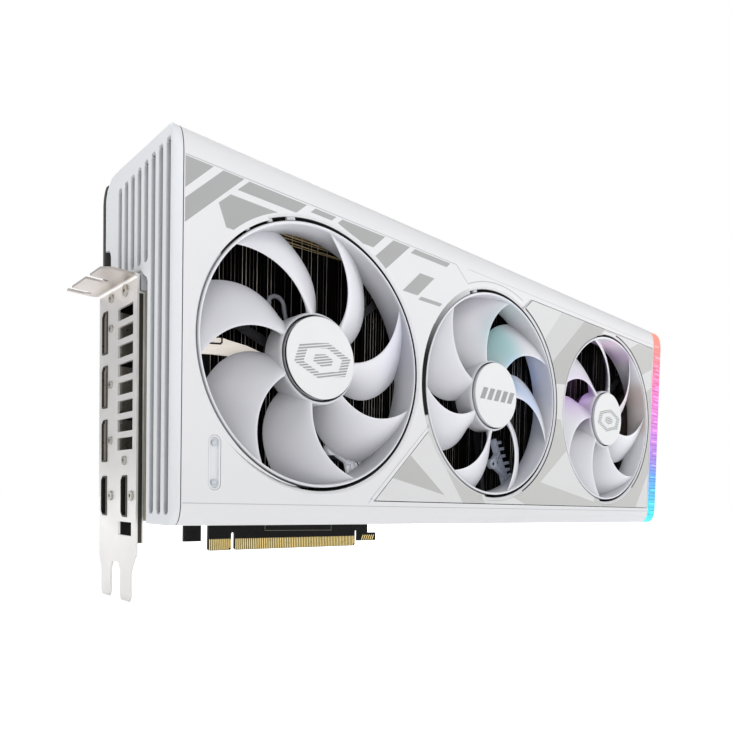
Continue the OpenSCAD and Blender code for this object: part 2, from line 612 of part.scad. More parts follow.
// Rotor drawn with its local z towards the front (-Y); dir is the blades' hand
module rotor(x, dir, phase)
  color([0.86, 0.86, 0.89]) translate([x, 0, fan_z]) rotate([90, 0, 0]) difference() {
    union() {
      // hub
      translate([0, 0, -(rotor_y0 + 12)]) cylinder(h = 11, r = hub_r);
      // rim
      difference() {
        translate([0, 0, 50.2]) cylinder(h = 13.9, r = rim_r);
        translate([0, 0, 49]) cylinder(h = 17, r = rim_r - 1.3);
      }
      // blades, turning as they run from back to front
      for (k = [0 : blades - 1])
        rotate([0, 0, phase - dir * blade_chord + k * 360 / blades]) translate([0, 0, 50.4])
          linear_extrude(height = 11.7, twist = -dir * blade_chord, slices = 6, segments = 12, $fn = 12)
            blade_strip(dir);
    }
    // hollow hub, leaving a boss around the shaft
    difference() {
      translate([0, 0, 40]) cylinder(h = 20.4, r = hub_r - 1.5);
      translate([0, 0, 57.4]) cylinder(h = 4, r = 3.4);
    }
    translate([0, 0, 40]) cylinder(h = 40, r = shaft_r + 0.02);
  }
module hub_cap(x) color([0.95, 0.95, 0.96]) rod_y(x, fan_z, rotor_y0, rotor_y0 + 0.95, cap_r);
module shaft(x) color([0.75, 0.75, 0.77]) rod_y(x, fan_z, rotor_y0 + 1.1, -48.6, shaft_r);
module magnet(x) color([0.25, 0.25, 0.26]) difference() {
  rod_y(x, fan_z, -59.5, -52, hub_r - 1.55);
  rod_y(x, fan_z, -61, -50, hub_r - 3.4);
}
module fan1_rotor() rotor(fan1_x, 1, 106.9);
module fan2_rotor() rotor(fan2_x, -1, 57.4);
module fan3_rotor() rotor(fan3_x, 1, 80.1);
module fan1_hub_cap() hub_cap(fan1_x);
module fan2_hub_cap() hub_cap(fan2_x);
module fan3_hub_cap() hub_cap(fan3_x);
module fan1_shaft() shaft(fan1_x);
module fan2_shaft() shaft(fan2_x);
module fan3_shaft() shaft(fan3_x);
module fan1_magnet() magnet(fan1_x);
module fan2_magnet() magnet(fan2_x);
module fan3_magnet() magnet(fan3_x);

// ---- fan motors ----
// Outlines pointing along +X from the fan's axis
arm_outline = [[14, -3.4], [arm_reach, -2.6], [arm_reach, 2.6], [14, 3.4]];
pole_outline = [
  [5, -1], [12.4, -1], [12.4, -4.2], [13.7, -4.2], [13.7, 4.2], [12.4, 4.2], [12.4, 1], [5, 1]
];
coil_outline = [[7.2, -2], [11.3, -2.6], [11.3, 2.6], [7.2, 2]];
coil_bore = [[6, -1.1], [12, -1.1], [12, 1.1], [6, 1.1]];
pole_angles = [0 : 60 : 300];

module fan_motor_bases() color([0.3, 0.3, 0.31])
  for (x = fan_x) translate([x, 0, fan_z]) difference() {
    union() {
      rod_y(0, 0, motor_base_y[0], motor_base_y[1], 16.5);
      // bearing tube
      rod_y(0, 0, -57, motor_base_y[0] + 0.5, 4.4);
      for (a = arm_angles)
        extrude_y(motor_base_y[0], motor_base_y[1]) polygon(turned(arm_outline, a));
      for (p = arm_ends) rod_y(p[0], p[1], motor_base_y[0], motor_base_y[1], 3.0);
    }
    rod_y(0, 0, -60, motor_base_y[1] - 0.8, 3.0);
    for (p = arm_ends) rod_y(p[0], p[1], -60, -40, 1.1);
  }
module fan_bearings() color([0.7, 0.55, 0.3]) for (x = fan_x) difference() {
  rod_y(x, fan_z, -56.8, motor_base_y[1] - 0.85, 2.96);
  rod_y(x, fan_z, -60, motor_base_y[1] - 1.3, shaft_r + run_gap);
}
module stator_cores() color([0.5, 0.5, 0.52])
  for (x = fan_x) translate([x, 0, fan_z]) difference() {
    union() {
      rod_y(0, 0, -54.6, -51.8, 6.2);
      for (a = pole_angles) extrude_y(-54.6, -51.8) polygon(turned(pole_outline, a));
    }
    rod_y(0, 0, -60, -45, 4.45);
  }
module stator_coils() color([0.72, 0.4, 0.2])
  for (x = fan_x) translate([x, 0, fan_z]) for (a = pole_angles) difference() {
    extrude_y(-55.6, -50.8) polygon(turned(coil_outline, a));
    extrude_y(-54.7, -51.7) polygon(turned(coil_bore, a));
  }
module fan_screws() color([0.65, 0.65, 0.67]) for (x = fan_x) for (p = arm_ends)
  translate([x + p[0], motor_base_y[1], fan_z + p[1]]) difference() {
    union() {
      rod_y(0, 0, 0.02, 1.3, 2.0);
      rod_y(0, 0, -55 - motor_base_y[1], 0.5, 0.9);
    }
    rod_y(0, 0, 0.8, 3, 0.8);
  }

// ---- fan cables ----
header_z = 34;
cable_y = -45.7;                      // cables run behind the motor bases
// [fan axis x, header x]
leads = [[fan1_x, 94.4], [fan2_x, 180], [fan3_x, 261.7]];

// Round wire through a list of points
module wire(points, r) for (i = [0 : len(points) - 2]) {
  step = points[i + 1] - points[i];
  length = norm(step);
  translate(points[i]) rotate([0, acos(step[2] / length), atan2(step[1], step[0])])
    cylinder(h = length, r = r);
  if (i > 0) translate(points[i]) sphere(r = r * 1.25);
}
module fan_cables() color([0.06, 0.06, 0.06]) for (f = leads) let (side = f[1] > f[0] ? 1 : -1)
  union() wire([
    [f[0] + side * 12, cable_y, fan_z - 8], [f[0] + side * 25, cable_y, header_z + 20],
    [f[1], cable_y, header_z + 4], [f[1], -40, header_z], [f[1], -8, header_z],
    [f[1], -5.6, header_z]
  ], 0.8);
module fan_headers() color([0.9, 0.9, 0.86])
  for (f = leads) block([f[1] - 2.2, -5.5, header_z - 5], [f[1] + 2.2, -0.05, header_z + 5]);

// ---- light bar ----
bar_y1 = -40;                         // back edge of the lens
lens_wall = 2;
lens_corner_r = 7;

// Plan of the lens with its rounded outer corner, from x0 and open to y1
module lens_plan(x0, y1, inset) {
  corner_r = lens_corner_r - inset;
  polygon(concat(
    [[x0, y1], [x0, front_y + inset]],
    arc(card_length - lens_corner_r, front_y + lens_corner_r, corner_r, corner_r, 270, 360, 8),
    [[card_length - inset, y1]]));
}
module light_bar_lens() color([0.95, 0.7, 0.85]) intersection() {
  extrude_x(bar_x, card_length) polygon(shell_section(0, bar_y1));
  difference() {
    linear_extrude(170) lens_plan(bar_x + 0.05, bar_y1, 0);
    translate([0, 0, bottom_z + lens_wall]) linear_extrude(top_z - bottom_z - 2 * lens_wall)
      lens_plan(bar_x - 1, bar_y1 + 1, lens_wall);
  }
}
module light_bar_board() color([0.9, 0.9, 0.9])
  block([bar_x + 2, front_y + 4.6, 24], [card_length - 5, front_y + 5.6, 138]);
module light_bar_leds() color([1, 1, 0.9]) for (k = [0 : 9])
  block([bar_x + 3.4, front_y + 3.4, 30 + 11 * k], [bar_x + 6.9, front_y + 4.55, 33.5 + 11 * k]);

io_bracket();
bracket_screws();
pcb();
edge_contacts();
video_port_shells();
video_port_tongues();
media_port_shells();
media_port_tongues();
end_frame();
front_shroud();
accent_panel();
slot_inlay();
slot_pins();
mid_frame();
far_end_cover();
backplate();
backplate_screws();
standoffs();
retention_plate();
retention_screws();
heatsink_fins();
heat_pipes();
cold_plate();
thermal_pads();
gpu_substrate();
gpu_die();
memory_chips();
inductors();
power_stages();
capacitors();
power_socket();
power_socket_pins();
switch_body();
switch_knob();
fan1_rotor();
fan1_hub_cap();
fan1_shaft();
fan1_magnet();
fan2_rotor();
fan2_hub_cap();
fan2_shaft();
fan2_magnet();
fan3_rotor();
fan3_hub_cap();
fan3_shaft();
fan3_magnet();
fan_motor_bases();
fan_bearings();
stator_cores();
stator_coils();
fan_cables();
fan_headers();
fan_screws();
light_bar_lens();
light_bar_board();
light_bar_leds();
shroud_screws();
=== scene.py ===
import math
import bpy
import bmesh
from mathutils import Vector, Matrix
from mathutils.geometry import delaunay_2d_cdt


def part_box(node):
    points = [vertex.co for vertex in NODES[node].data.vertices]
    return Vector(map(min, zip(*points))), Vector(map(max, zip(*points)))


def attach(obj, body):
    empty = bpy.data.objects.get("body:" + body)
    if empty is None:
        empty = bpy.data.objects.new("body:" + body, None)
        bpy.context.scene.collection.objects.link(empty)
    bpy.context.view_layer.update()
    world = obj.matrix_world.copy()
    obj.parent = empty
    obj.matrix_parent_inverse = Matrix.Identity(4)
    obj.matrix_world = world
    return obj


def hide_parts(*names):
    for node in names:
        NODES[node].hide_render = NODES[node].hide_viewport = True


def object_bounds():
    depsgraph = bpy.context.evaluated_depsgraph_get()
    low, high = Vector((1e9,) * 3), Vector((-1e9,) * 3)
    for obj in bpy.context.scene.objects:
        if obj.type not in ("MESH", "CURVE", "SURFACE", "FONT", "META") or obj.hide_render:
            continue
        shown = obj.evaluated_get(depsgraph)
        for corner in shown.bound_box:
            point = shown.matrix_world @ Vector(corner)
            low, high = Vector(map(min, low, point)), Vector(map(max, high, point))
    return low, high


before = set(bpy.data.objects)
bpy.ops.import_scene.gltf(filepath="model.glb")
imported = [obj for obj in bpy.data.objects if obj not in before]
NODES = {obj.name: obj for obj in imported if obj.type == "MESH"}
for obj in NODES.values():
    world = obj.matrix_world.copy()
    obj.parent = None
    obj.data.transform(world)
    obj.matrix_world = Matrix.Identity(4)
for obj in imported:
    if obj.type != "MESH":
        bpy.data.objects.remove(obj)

cad_lo, cad_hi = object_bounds()
MM = 0.001

# Main sizes in millimetres, read from the frame where a CAD node gives them
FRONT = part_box("front_shroud")[0].y / MM + 0.04   # front face of the shell (-Y side), just inside the card's box
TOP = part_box("front_shroud")[1].z / MM
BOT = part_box("front_shroud")[0].z / MM
END_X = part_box("far_end_cover")[1].x / MM - 0.02  # far end of the card
BAR_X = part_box("light_bar_lens")[0].x / MM
FANS = []
for _n in ("fan1_hub_cap", "fan2_hub_cap", "fan3_hub_cap"):
    _a, _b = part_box(_n)
    FANS.append(((_a.x + _b.x) / 2 / MM, (_a.z + _b.z) / 2 / MM))
CAP_Y = max(FRONT + 0.12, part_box("fan1_hub_cap")[0].y / MM - 1.2)   # the cap face stands proud of the hub
BAND_T, BAND_B, FALL = 10.6, 7.9, 5.0
Z_HI, Z_LO = TOP - BAND_T, BOT + BAND_B
X0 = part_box("front_shroud")[0].x / MM + 0.28
X1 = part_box("front_shroud")[1].x / MM
SEAM_Y = -34.0
R_OPEN = 52.8
R_CHAM = 54.3


# ------------------------------------------------------------------ colour
def lin(h, k=1.0):
    h = h.lstrip("#")
    v = [int(h[i:i + 2], 16) / 255 for i in (0, 2, 4)]
    return tuple(min(1.0, k * (c / 12.92 if c <= 0.04045 else ((c + 0.055) / 1.055) ** 2.4)) for c in v) + (1.0,)


def scaled(c, k):
    return tuple(min(1.0, x * k) for x in c[:3]) + (1.0,)


def node(nt, kind, **kw):
    n = nt.nodes.new(kind)
    for k, v in kw.items():
        if k in n.inputs:
            n.inputs[k].default_value = v
        else:
            setattr(n, k, v)
    return n


def noise(nt, co, scale, detail=3.0, rough=0.5, stretch=None):
    src = co
    if stretch:
        mp = node(nt, "ShaderNodeMapping")
        mp.inputs["Scale"].default_value = stretch
        nt.links.new(co, mp.inputs["Vector"])
        src = mp.outputs["Vector"]
    n = node(nt, "ShaderNodeTexNoise")
    n.inputs["Scale"].default_value = scale
    n.inputs["Detail"].default_value = detail
    n.inputs["Roughness"].default_value = rough
    nt.links.new(src, n.inputs["Vector"])
    return n.outputs["Fac"]


def ranged(nt, fac, lo, hi, a=0.3, b=0.7):
    m = node(nt, "ShaderNodeMapRange")
    m.inputs["From Min"].default_value = a
    m.inputs["From Max"].default_value = b
    m.inputs["To Min"].default_value = lo
    m.inputs["To Max"].default_value = hi
    nt.links.new(fac, m.inputs["Value"])
    return m.outputs["Result"]


def mixcol(nt, fac, a, b):
    m = node(nt, "ShaderNodeMix", data_type="RGBA")
    for s, v in (("A", a), ("B", b)):
        sock = [i for i in m.inputs if i.name == s and i.type == "RGBA"][0]
        if isinstance(v, tuple):
            sock.default_value = v
        else:
            nt.links.new(v, sock)
    fs = [i for i in m.inputs if i.name == "Factor" and i.type == "VALUE"][0]
    if isinstance(fac, (int, float)):
        fs.default_value = fac
    else:
        nt.links.new(fac, fs)
    return [o for o in m.outputs if o.type == "RGBA"][0]


def coat_mat(name, col, rough=0.4, metal=0.0, var=0.03, vscale=40.0, grain=0.03, gscale=2200.0, rvar=0.05,
             coat=0.0, spec=0.5, stretch=None, brush=0.0, sheen=0.0, sss=0.0, ao=0.35, ao_d=0.006, tint=None, painted_glow=0.0):
    """A surface with slow colour drift, fine grain and uneven gloss, painted shade in its creases and an optional
    painted glow of its own colour.
    """
    m = bpy.data.materials.new(name)
    m.use_nodes = True
    nt = m.node_tree
    b = nt.nodes["Principled BSDF"]
    co = node(nt, "ShaderNodeTexCoord").outputs["Object"]
    slow = noise(nt, co, vscale, 4.0, 0.55, stretch)
    c = mixcol(nt, ranged(nt, slow, 0.0, 1.0), scaled(col, 1 - var), scaled(col, 1 + var))
    if tint:
        c = mixcol(nt, ranged(nt, noise(nt, co, vscale * 0.37, 2.0), 0.0, 0.6), c, tint)
    # painted shade: ambient occlusion darkens the colour in creases, corners and recesses
    if ao > 0:
        a = node(nt, "ShaderNodeAmbientOcclusion", samples=4)
        a.inputs["Distance"].default_value = ao_d
        dark = mixcol(nt, 0.0, c, c)
        mul = node(nt, "ShaderNodeMix", data_type="RGBA", blend_type="MULTIPLY")
        fa = [i for i in mul.inputs if i.name == "A" and i.type == "RGBA"][0]
        fb = [i for i in mul.inputs if i.name == "B" and i.type == "RGBA"][0]
        ff = [i for i in mul.inputs if i.name == "Factor" and i.type == "VALUE"][0]
        ff.default_value = 1.0
        nt.links.new(dark, fa)
        g = ranged(nt, a.outputs["AO"], 1.0 - ao, 1.0, 0.15, 0.85)
        comb = node(nt, "ShaderNodeCombineColor")
        for i in range(3):
            nt.links.new(g, comb.inputs[i])
        nt.links.new(comb.outputs[0], fb)
        c = [o for o in mul.outputs if o.type == "RGBA"][0]
    nt.links.new(c, b.inputs["Base Color"])
    # painted glow: the base colour is also emitted, so the surface reads brighter than its lamps make it
    if painted_glow > 0:
        nt.links.new(c, b.inputs["Emission Color"])
        b.inputs["Emission Strength"].default_value = painted_glow
    fine = noise(nt, co, gscale, 2.0, 0.6, brush and (1.0, 1.0, 0.02) or stretch)
    r = ranged(nt, noise(nt, co, vscale * 3.1, 3.0), rough - rvar, rough + rvar)
    nt.links.new(r, b.inputs["Roughness"])
    b.inputs["Metallic"].default_value = metal
    b.inputs["Specular IOR Level"].default_value = spec
    b.inputs["Coat Weight"].default_value = coat
    b.inputs["Coat Roughness"].default_value = 0.12
    if sss:
        b.inputs["Subsurface Weight"].default_value = sss
        b.inputs["Subsurface Radius"].default_value = (0.004, 0.004, 0.0045)
        b.inputs["Subsurface Scale"].default_value = 0.5
    bp = node(nt, "ShaderNodeBump")
    bp.inputs["Strength"].default_value = grain
    bp.inputs["Distance"].default_value = 0.0002
    nt.links.new(fine, bp.inputs["Height"])
    nt.links.new(bp.outputs["Normal"], b.inputs["Normal"])
    return m


M = {}
M["shell"] = coat_mat("white_paint", lin("#E9E9EB"), 0.42, coat=0.12, var=0.012, vscale=18, grain=0.04, ao=0.30, ao_d=0.005)
# painted shade: strong ambient occlusion darkens the grooves of the ribbed end
M["rib"] = coat_mat("white_paint_ribs", lin("#E8EAED"), 0.44, coat=0.1, var=0.012, vscale=25, grain=0.05, ao=0.80, ao_d=0.005)
M["seam"] = coat_mat("seam_grey", lin("#8E9096"), 0.6, var=0.05, grain=0.05, ao=0)
# painted shade: the fine dark line on the far side of the openings' bevels
M["edge"] = coat_mat("bevel_shade_line", lin("#3C3D40"), 0.6, spec=0.15, var=0.05, grain=0.05, ao=0)
M["ledge"] = coat_mat("ledge_grey", lin("#C6C8CB"), 0.5, var=0.04, grain=0.03, ao=0)
M["band"] = coat_mat("painted_shadow_deep", lin("#191918"), 0.6, spec=0.12, var=0.1, grain=0.05, ao=0)
def fade_shadow_up(m, z0, z1, top):
    """Painted shadow: fades the colour to a paler one between two heights."""
    nt = m.node_tree
    b = nt.nodes["Principled BSDF"]
    col = b.inputs["Base Color"].links[0].from_socket
    sep = node(nt, "ShaderNodeSeparateXYZ")
    nt.links.new(node(nt, "ShaderNodeTexCoord").outputs["Object"], sep.inputs[0])
    k = ranged(nt, sep.outputs["Z"], 0.0, 1.0, z0 * MM, z1 * MM)
    sq = node(nt, "ShaderNodeMath", operation="POWER")
    nt.links.new(k, sq.inputs[0])
    sq.inputs[1].default_value = 1.7
    nt.links.new(mixcol(nt, sq.outputs[0], col, top), b.inputs["Base Color"])


# painted shadow on the band: near black low down, fading to pale grey above the middle fan's centre
fade_shadow_up(M["band"], FANS[1][1] + 10.0, FANS[1][1] + 48.0, lin("#D9DADC"))
# darker to paler steps of the same painted shadow band
M["band2"] = coat_mat("painted_shadow_mid_deep", lin("#333332"), 0.6, spec=0.12, var=0.1, grain=0.05, ao=0)
M["band3"] = coat_mat("painted_shadow_mid", lin("#626261"), 0.6, spec=0.12, var=0.08, grain=0.05, ao=0)
M["band4"] = coat_mat("painted_shadow_pale", lin("#969695"), 0.6, spec=0.12, var=0.06, grain=0.05, ao=0)
M["wallbrown"] = coat_mat("wall_brown", lin("#6E625A"), 0.35, metal=0.4, var=0.15, grain=0.04, ao=0.2)
# painted highlight colour for the thin glints across the fin tops
M["tube"] = coat_mat("glint_pale_gold", lin("#EBD3A4"), 0.25, metal=0.5, var=0.08, grain=0.02, ao=0)
# painted glow: the plate emits its own colour, a painted highlight behind the first fan
M["cream"] = coat_mat("plate_cream_painted_glow", lin("#FBF3E8"), 0.4, metal=0.0, var=0.05, grain=0.04, ao=0, painted_glow=0.30)
# painted shade: the shaded lip of the frame beside the bracket, in a warm mid grey
M["warm"] = coat_mat("lip_shade_warm", lin("#A6A28F"), 0.4, metal=0.3, var=0.06, grain=0.04, ao=0)
# dark strip: painted shade on the bracket's return, also used for the dark edge trim down the bracket end
M["dusk"] = coat_mat("return_dark", lin("#3A372C"), 0.4, metal=0.4, var=0.12, grain=0.04, ao=0)
M["arm"] = coat_mat("motor_arm_grey", lin("#8B8D94"), 0.45, var=0.06, vscale=90, grain=0.06, ao=0.3)
# the same cable guide in a lit copy for the first fan and a shaded copy for the others, each with a painted glow
M["guide1"] = coat_mat("cable_guide_lit", lin("#E4E6EC"), 0.4, var=0.05, vscale=90, grain=0.05, ao=0.5, ao_d=0.002, painted_glow=0.22)
M["guide2"] = coat_mat("cable_guide_shaded", lin("#A9B0BE"), 0.35, var=0.10, vscale=120, grain=0.05, ao=0.6, ao_d=0.002, painted_glow=0.12)
# painted shade: near black for duct walls, groove floors, the channel round the caps and the bevel's inner edge
M["gap"] = coat_mat("painted_shade_dark", lin("#1B1B1D"), 0.6, var=0.1, grain=0.1, ao=0)
M["duct"] = coat_mat("duct_white", lin("#C9C9D0"), 0.5, var=0.03, grain=0.05)
M["line"] = coat_mat("line_grey", lin("#BFC0C4"), 0.5, var=0.03, grain=0.02, ao=0)
M["print"] = coat_mat("print_grey", lin("#ADADAD"), 0.46, var=0.02, vscale=30, grain=0.05, ao=0)
M["print_dark"] = coat_mat("print_hatch", lin("#A4A4A6"), 0.5, var=0.03, vscale=60, grain=0.05, ao=0)
M["acc0"] = coat_mat("facet_light", lin("#DFDFDF"), 0.40, coat=0.1, var=0.02, vscale=12, grain=0.03, ao=0.2)
M["acc1"] = coat_mat("facet_pale", lin("#D2D2D2"), 0.40, coat=0.1, var=0.02, vscale=12, grain=0.03, ao=0.2)
M["acc2"] = coat_mat("facet_mid", lin("#C7C7C4"), 0.42, coat=0.1, var=0.02, vscale=12, grain=0.03, ao=0.2)
M["acc3"] = coat_mat("facet_grey", lin("#BCBCBA"), 0.42, coat=0.1, var=0.02, vscale=12, grain=0.03, ao=0.2)
M["blade"] = coat_mat("blade_white", lin("#E6E5EC"), 0.36, var=0.012, vscale=30, grain=0.02, coat=0.08, ao=0.30, ao_d=0.012)
M["cap"] = coat_mat("cap_white", lin("#EDEEEE"), 0.45, var=0.01, vscale=60, grain=0.05, ao=0.15)
M["capwall"] = coat_mat("cap_side_painted_shade", lin("#DCDDE0"), 0.5, var=0.02, vscale=60, grain=0.05, ao=0.6, ao_d=0.002)
M["inlay"] = coat_mat("inlay_white", lin("#ECEEF1"), 0.25, var=0.02, coat=0.3, ao=0.45, ao_d=0.002)
M["pin"] = coat_mat("pin_grey", lin("#CDD2DA"), 0.3, var=0.03, coat=0.2, ao=0.4, ao_d=0.001)
M["steel"] = coat_mat("bracket_steel", lin("#F4F1EE"), 0.36, metal=0.62, var=0.03, vscale=35, grain=0.05, gscale=900, brush=1.0, ao=0.25, ao_d=0.003)
def flange_painted_shade(m):
    """Painted shade on the bent top flange: it is seen from below, so it is painted darker and warmer than the face."""
    nt = m.node_tree
    b = nt.nodes["Principled BSDF"]
    col = b.inputs["Base Color"].links[0].from_socket
    sep = node(nt, "ShaderNodeSeparateXYZ")
    nt.links.new(node(nt, "ShaderNodeNewGeometry").outputs["Position"], sep.inputs[0])
    k = ranged(nt, sep.outputs["X"], 1.0, 0.0, -0.0045, -0.0006)
    near = mixcol(nt, k, lin("#ABA197"), lin("#CFC7C2"))
    f = ranged(nt, sep.outputs["X"], 1.0, 0.0, -0.0012, -0.0004)
    nt.links.new(mixcol(nt, f, col, near), b.inputs["Base Color"])


flange_painted_shade(M["steel"])
M["screw"] = coat_mat("screw_steel", lin("#C9C6C0"), 0.28, metal=1.0, var=0.04, vscale=120, grain=0.05, ao=0.6, ao_d=0.0015)
M["nickel"] = coat_mat("socket_nickel", lin("#C4BBAE"), 0.3, metal=0.4, painted_glow=0.12, var=0.05, vscale=80, grain=0.04, ao=0.3, ao_d=0.002)


def depth_shade(m, stops):
    """Painted shade and light in the sockets: scales the colour and its glow with the depth behind the bracket face.
    Stops are millimetres and factors.
    """
    nt = m.node_tree
    b = nt.nodes["Principled BSDF"]
    col = b.inputs["Base Color"].links[0].from_socket
    sep = node(nt, "ShaderNodeSeparateXYZ")
    nt.links.new(node(nt, "ShaderNodeTexCoord").outputs["Object"], sep.inputs[0])
    ramp = node(nt, "ShaderNodeValToRGB")
    el = ramp.color_ramp.elements
    while len(el) < len(stops):
        el.new(0.5)
    for e, (x, v) in zip(el, sorted(stops)):
        e.position = x / 10.0
        e.color = (v, v, v, 1.0)
    nt.links.new(ranged(nt, sep.outputs["X"], 0.0, 1.0, 0.0, 0.010), ramp.inputs[0])
    mul = node(nt, "ShaderNodeVectorMath", operation="MULTIPLY")
    nt.links.new(col, mul.inputs[0])
    nt.links.new(ramp.outputs[0], mul.inputs[1])
    nt.links.new(mul.outputs[0], b.inputs["Base Color"])
    nt.links.new(mul.outputs[0], b.inputs["Emission Color"])


# painted shade and light: the socket insides darken with depth behind a brightly painted lip, and the metal glows a
# little
depth_shade(M["nickel"], [(0.0, 0.10), (0.38, 0.14), (0.52, 1.0), (1.10, 0.92), (1.30, 0.16), (2.6, 0.2), (4.4, 0.42), (5.3, 0.62), (5.6, 0.26), (7.5, 0.16)])
M["dark_steel"] = coat_mat("socket_dark", lin("#55534F"), 0.35, metal=0.8, var=0.05, vscale=80, grain=0.04, ao=0.3)
M["black"] = coat_mat("black_plastic", lin("#131314"), 0.42, var=0.12, vscale=90, grain=0.12, ao=0)
M["dgrey"] = coat_mat("dark_grey_plastic", lin("#39393D"), 0.45, var=0.08, vscale=60, grain=0.1, ao=0.3)
M["motor"] = coat_mat("motor_frame", lin("#242427"), 0.45, var=0.05, vscale=60, grain=0.06, ao=0.3)
# painted glow: the gold also emits its own colour, so the fingers read brighter
M["gold"] = coat_mat("contact_gold", lin("#FBE093"), 0.3, metal=0.35, painted_glow=0.27, var=0.04, vscale=200, grain=0.0, ao=0)
M["brass"] = coat_mat("brass", lin("#C8A766"), 0.3, metal=1.0, var=0.04, vscale=80, grain=0.04)
M["copper"] = coat_mat("copper", lin("#C9855C"), 0.3, metal=1.0, var=0.06, vscale=60, grain=0.05)
M["nickel_pipe"] = coat_mat("pipe_nickel", lin("#B9B5AE"), 0.28, metal=1.0, var=0.04, vscale=50, grain=0.04)
# painted shade: near black fins; the three materials below paint their front edges with a highlight, half light or
# shade
M["fin"] = coat_mat("fin_black", lin("#050505"), 0.6, metal=0.0, spec=0.10, var=0.2, vscale=50, grain=0.05, ao=0)
M["fin_edge"] = coat_mat("fin_edge_painted_highlight", lin("#D2CBC2"), 0.35, metal=0.2, var=0.35, vscale=70, grain=0.05, ao=0, tint=lin("#4A443E"))
M["fin_mid"] = coat_mat("fin_edge_half_lit", lin("#6A6662"), 0.4, metal=0.1, spec=0.2, var=0.35, vscale=70, grain=0.05, ao=0, tint=lin("#2A2725"))
M["fin_dim"] = coat_mat("fin_edge_painted_shade", lin("#211F1E"), 0.5, spec=0.1, var=0.3, vscale=70, grain=0.05, ao=0)
M["pad"] = coat_mat("thermal_pad", lin("#8C97A3"), 0.8, var=0.05, vscale=60, grain=0.3)
M["chip"] = coat_mat("chip_epoxy", lin("#161617"), 0.5, var=0.08, vscale=90, grain=0.12)
M["die"] = coat_mat("silicon", lin("#5C6068"), 0.12, metal=0.7, var=0.05, vscale=60, grain=0.0)
M["substrate"] = coat_mat("substrate_green", lin("#24422E"), 0.45, var=0.08, vscale=90, grain=0.05)
M["ferrite"] = coat_mat("inductor_grey", lin("#4A4A4B"), 0.55, var=0.08, vscale=120, grain=0.2)
M["alu"] = coat_mat("alu_can", lin("#C7C8CA"), 0.3, metal=1.0, var=0.03, vscale=90, grain=0.04)
M["backshell"] = coat_mat("backplate_paint", lin("#E3E3E5"), 0.4, coat=0.1, var=0.015, vscale=16, grain=0.05, ao=0.35, ao_d=0.004)
M["connector"] = coat_mat("header_white", lin("#E4E2DA"), 0.45, var=0.02, vscale=90, grain=0.05)
M["led"] = coat_mat("led_cream", lin("#F2EDD8"), 0.3, var=0.02, vscale=90, grain=0.02)
M["wire"] = coat_mat("wire_black", lin("#17171A"), 0.45, var=0.1, vscale=90, grain=0.08)


def board_material():
    """Black solder mask with faint copper tracks under it."""
    m = coat_mat("board_mask", lin("#0F0F10"), 0.45, var=0.12, vscale=70, grain=0.05, coat=0.0, spec=0.18, ao=0.3)
    nt = m.node_tree
    b = nt.nodes["Principled BSDF"]
    co = node(nt, "ShaderNodeTexCoord").outputs["Object"]
    mp = node(nt, "ShaderNodeMapping")
    mp.inputs["Scale"].default_value = (900.0, 1.0, 1400.0)
    nt.links.new(co, mp.inputs["Vector"])
    v = node(nt, "ShaderNodeTexVoronoi", feature="F1", distance="CHEBYCHEV")
    v.inputs["Scale"].default_value = 1.0
    v.inputs["Randomness"].default_value = 0.85
    nt.links.new(mp.outputs["Vector"], v.inputs["Vector"])
    edge = ranged(nt, v.outputs["Distance"], 0.0, 1.0, 0.40, 0.44)
    col = mixcol(nt, edge, lin("#0C0C0D"), lin("#121213"))
    nt.links.new(col, b.inputs["Base Color"])
    return m


M["board"] = board_material()
M["trace"] = coat_mat("board_ink", lin("#6E6C5C"), 0.5, var=0.05, grain=0.05, ao=0)


def painted_reflection_spots(m, spots):
    """Painted coloured reflections on the blades, which turn with the blades: each spot is (x, z, radius, colour,
    share).
    """
    nt = m.node_tree
    b = nt.nodes["Principled BSDF"]
    link = b.inputs["Base Color"].links[0]
    col = link.from_socket
    co = node(nt, "ShaderNodeTexCoord").outputs["Object"]
    sep = node(nt, "ShaderNodeSeparateXYZ")
    nt.links.new(co, sep.inputs[0])
    comb = node(nt, "ShaderNodeCombineXYZ")
    nt.links.new(sep.outputs["X"], comb.inputs["X"])
    nt.links.new(sep.outputs["Z"], comb.inputs["Z"])
    for x, z, r, c, k in spots:
        d = node(nt, "ShaderNodeVectorMath", operation="DISTANCE")
        nt.links.new(comb.outputs[0], d.inputs[0])
        d.inputs[1].default_value = (x * MM, 0.0, z * MM)
        f = node(nt, "ShaderNodeMapRange", interpolation_type="SMOOTHERSTEP")
        f.inputs["From Min"].default_value = r * MM
        f.inputs["From Max"].default_value = r * MM * 0.15
        f.inputs["To Min"].default_value = 0.0
        f.inputs["To Max"].default_value = k
        nt.links.new(d.outputs["Value"], f.inputs["Value"])
        col = mixcol(nt, f.outputs["Result"], col, lin(c))
    nt.links.new(col, b.inputs["Base Color"])
    return m


def side_light(m, lo, hi):
    """Painted light and shade by facing: faces turned to the bracket end are painted darker, faces turned to the far
    end lighter.
    """
    nt = m.node_tree
    b = nt.nodes["Principled BSDF"]
    col = b.inputs["Base Color"].links[0].from_socket
    sep = node(nt, "ShaderNodeSeparateXYZ")
    nt.links.new(node(nt, "ShaderNodeNewGeometry").outputs["Normal"], sep.inputs[0])
    k = ranged(nt, sep.outputs["X"], lo, hi, -0.60, 0.30)
    sc = node(nt, "ShaderNodeVectorMath", operation="SCALE")
    nt.links.new(col, sc.inputs[0])
    nt.links.new(k, sc.inputs["Scale"])
    nt.links.new(sc.outputs[0], b.inputs["Base Color"])
    return m


def blade_material(name, spots, lo, hi):
    return side_light(painted_reflection_spots(coat_mat(name, lin("#E9E9EE"), 0.36, var=0.012, vscale=30, grain=0.02, coat=0.08, ao=0.28, ao_d=0.012), spots), lo, hi)


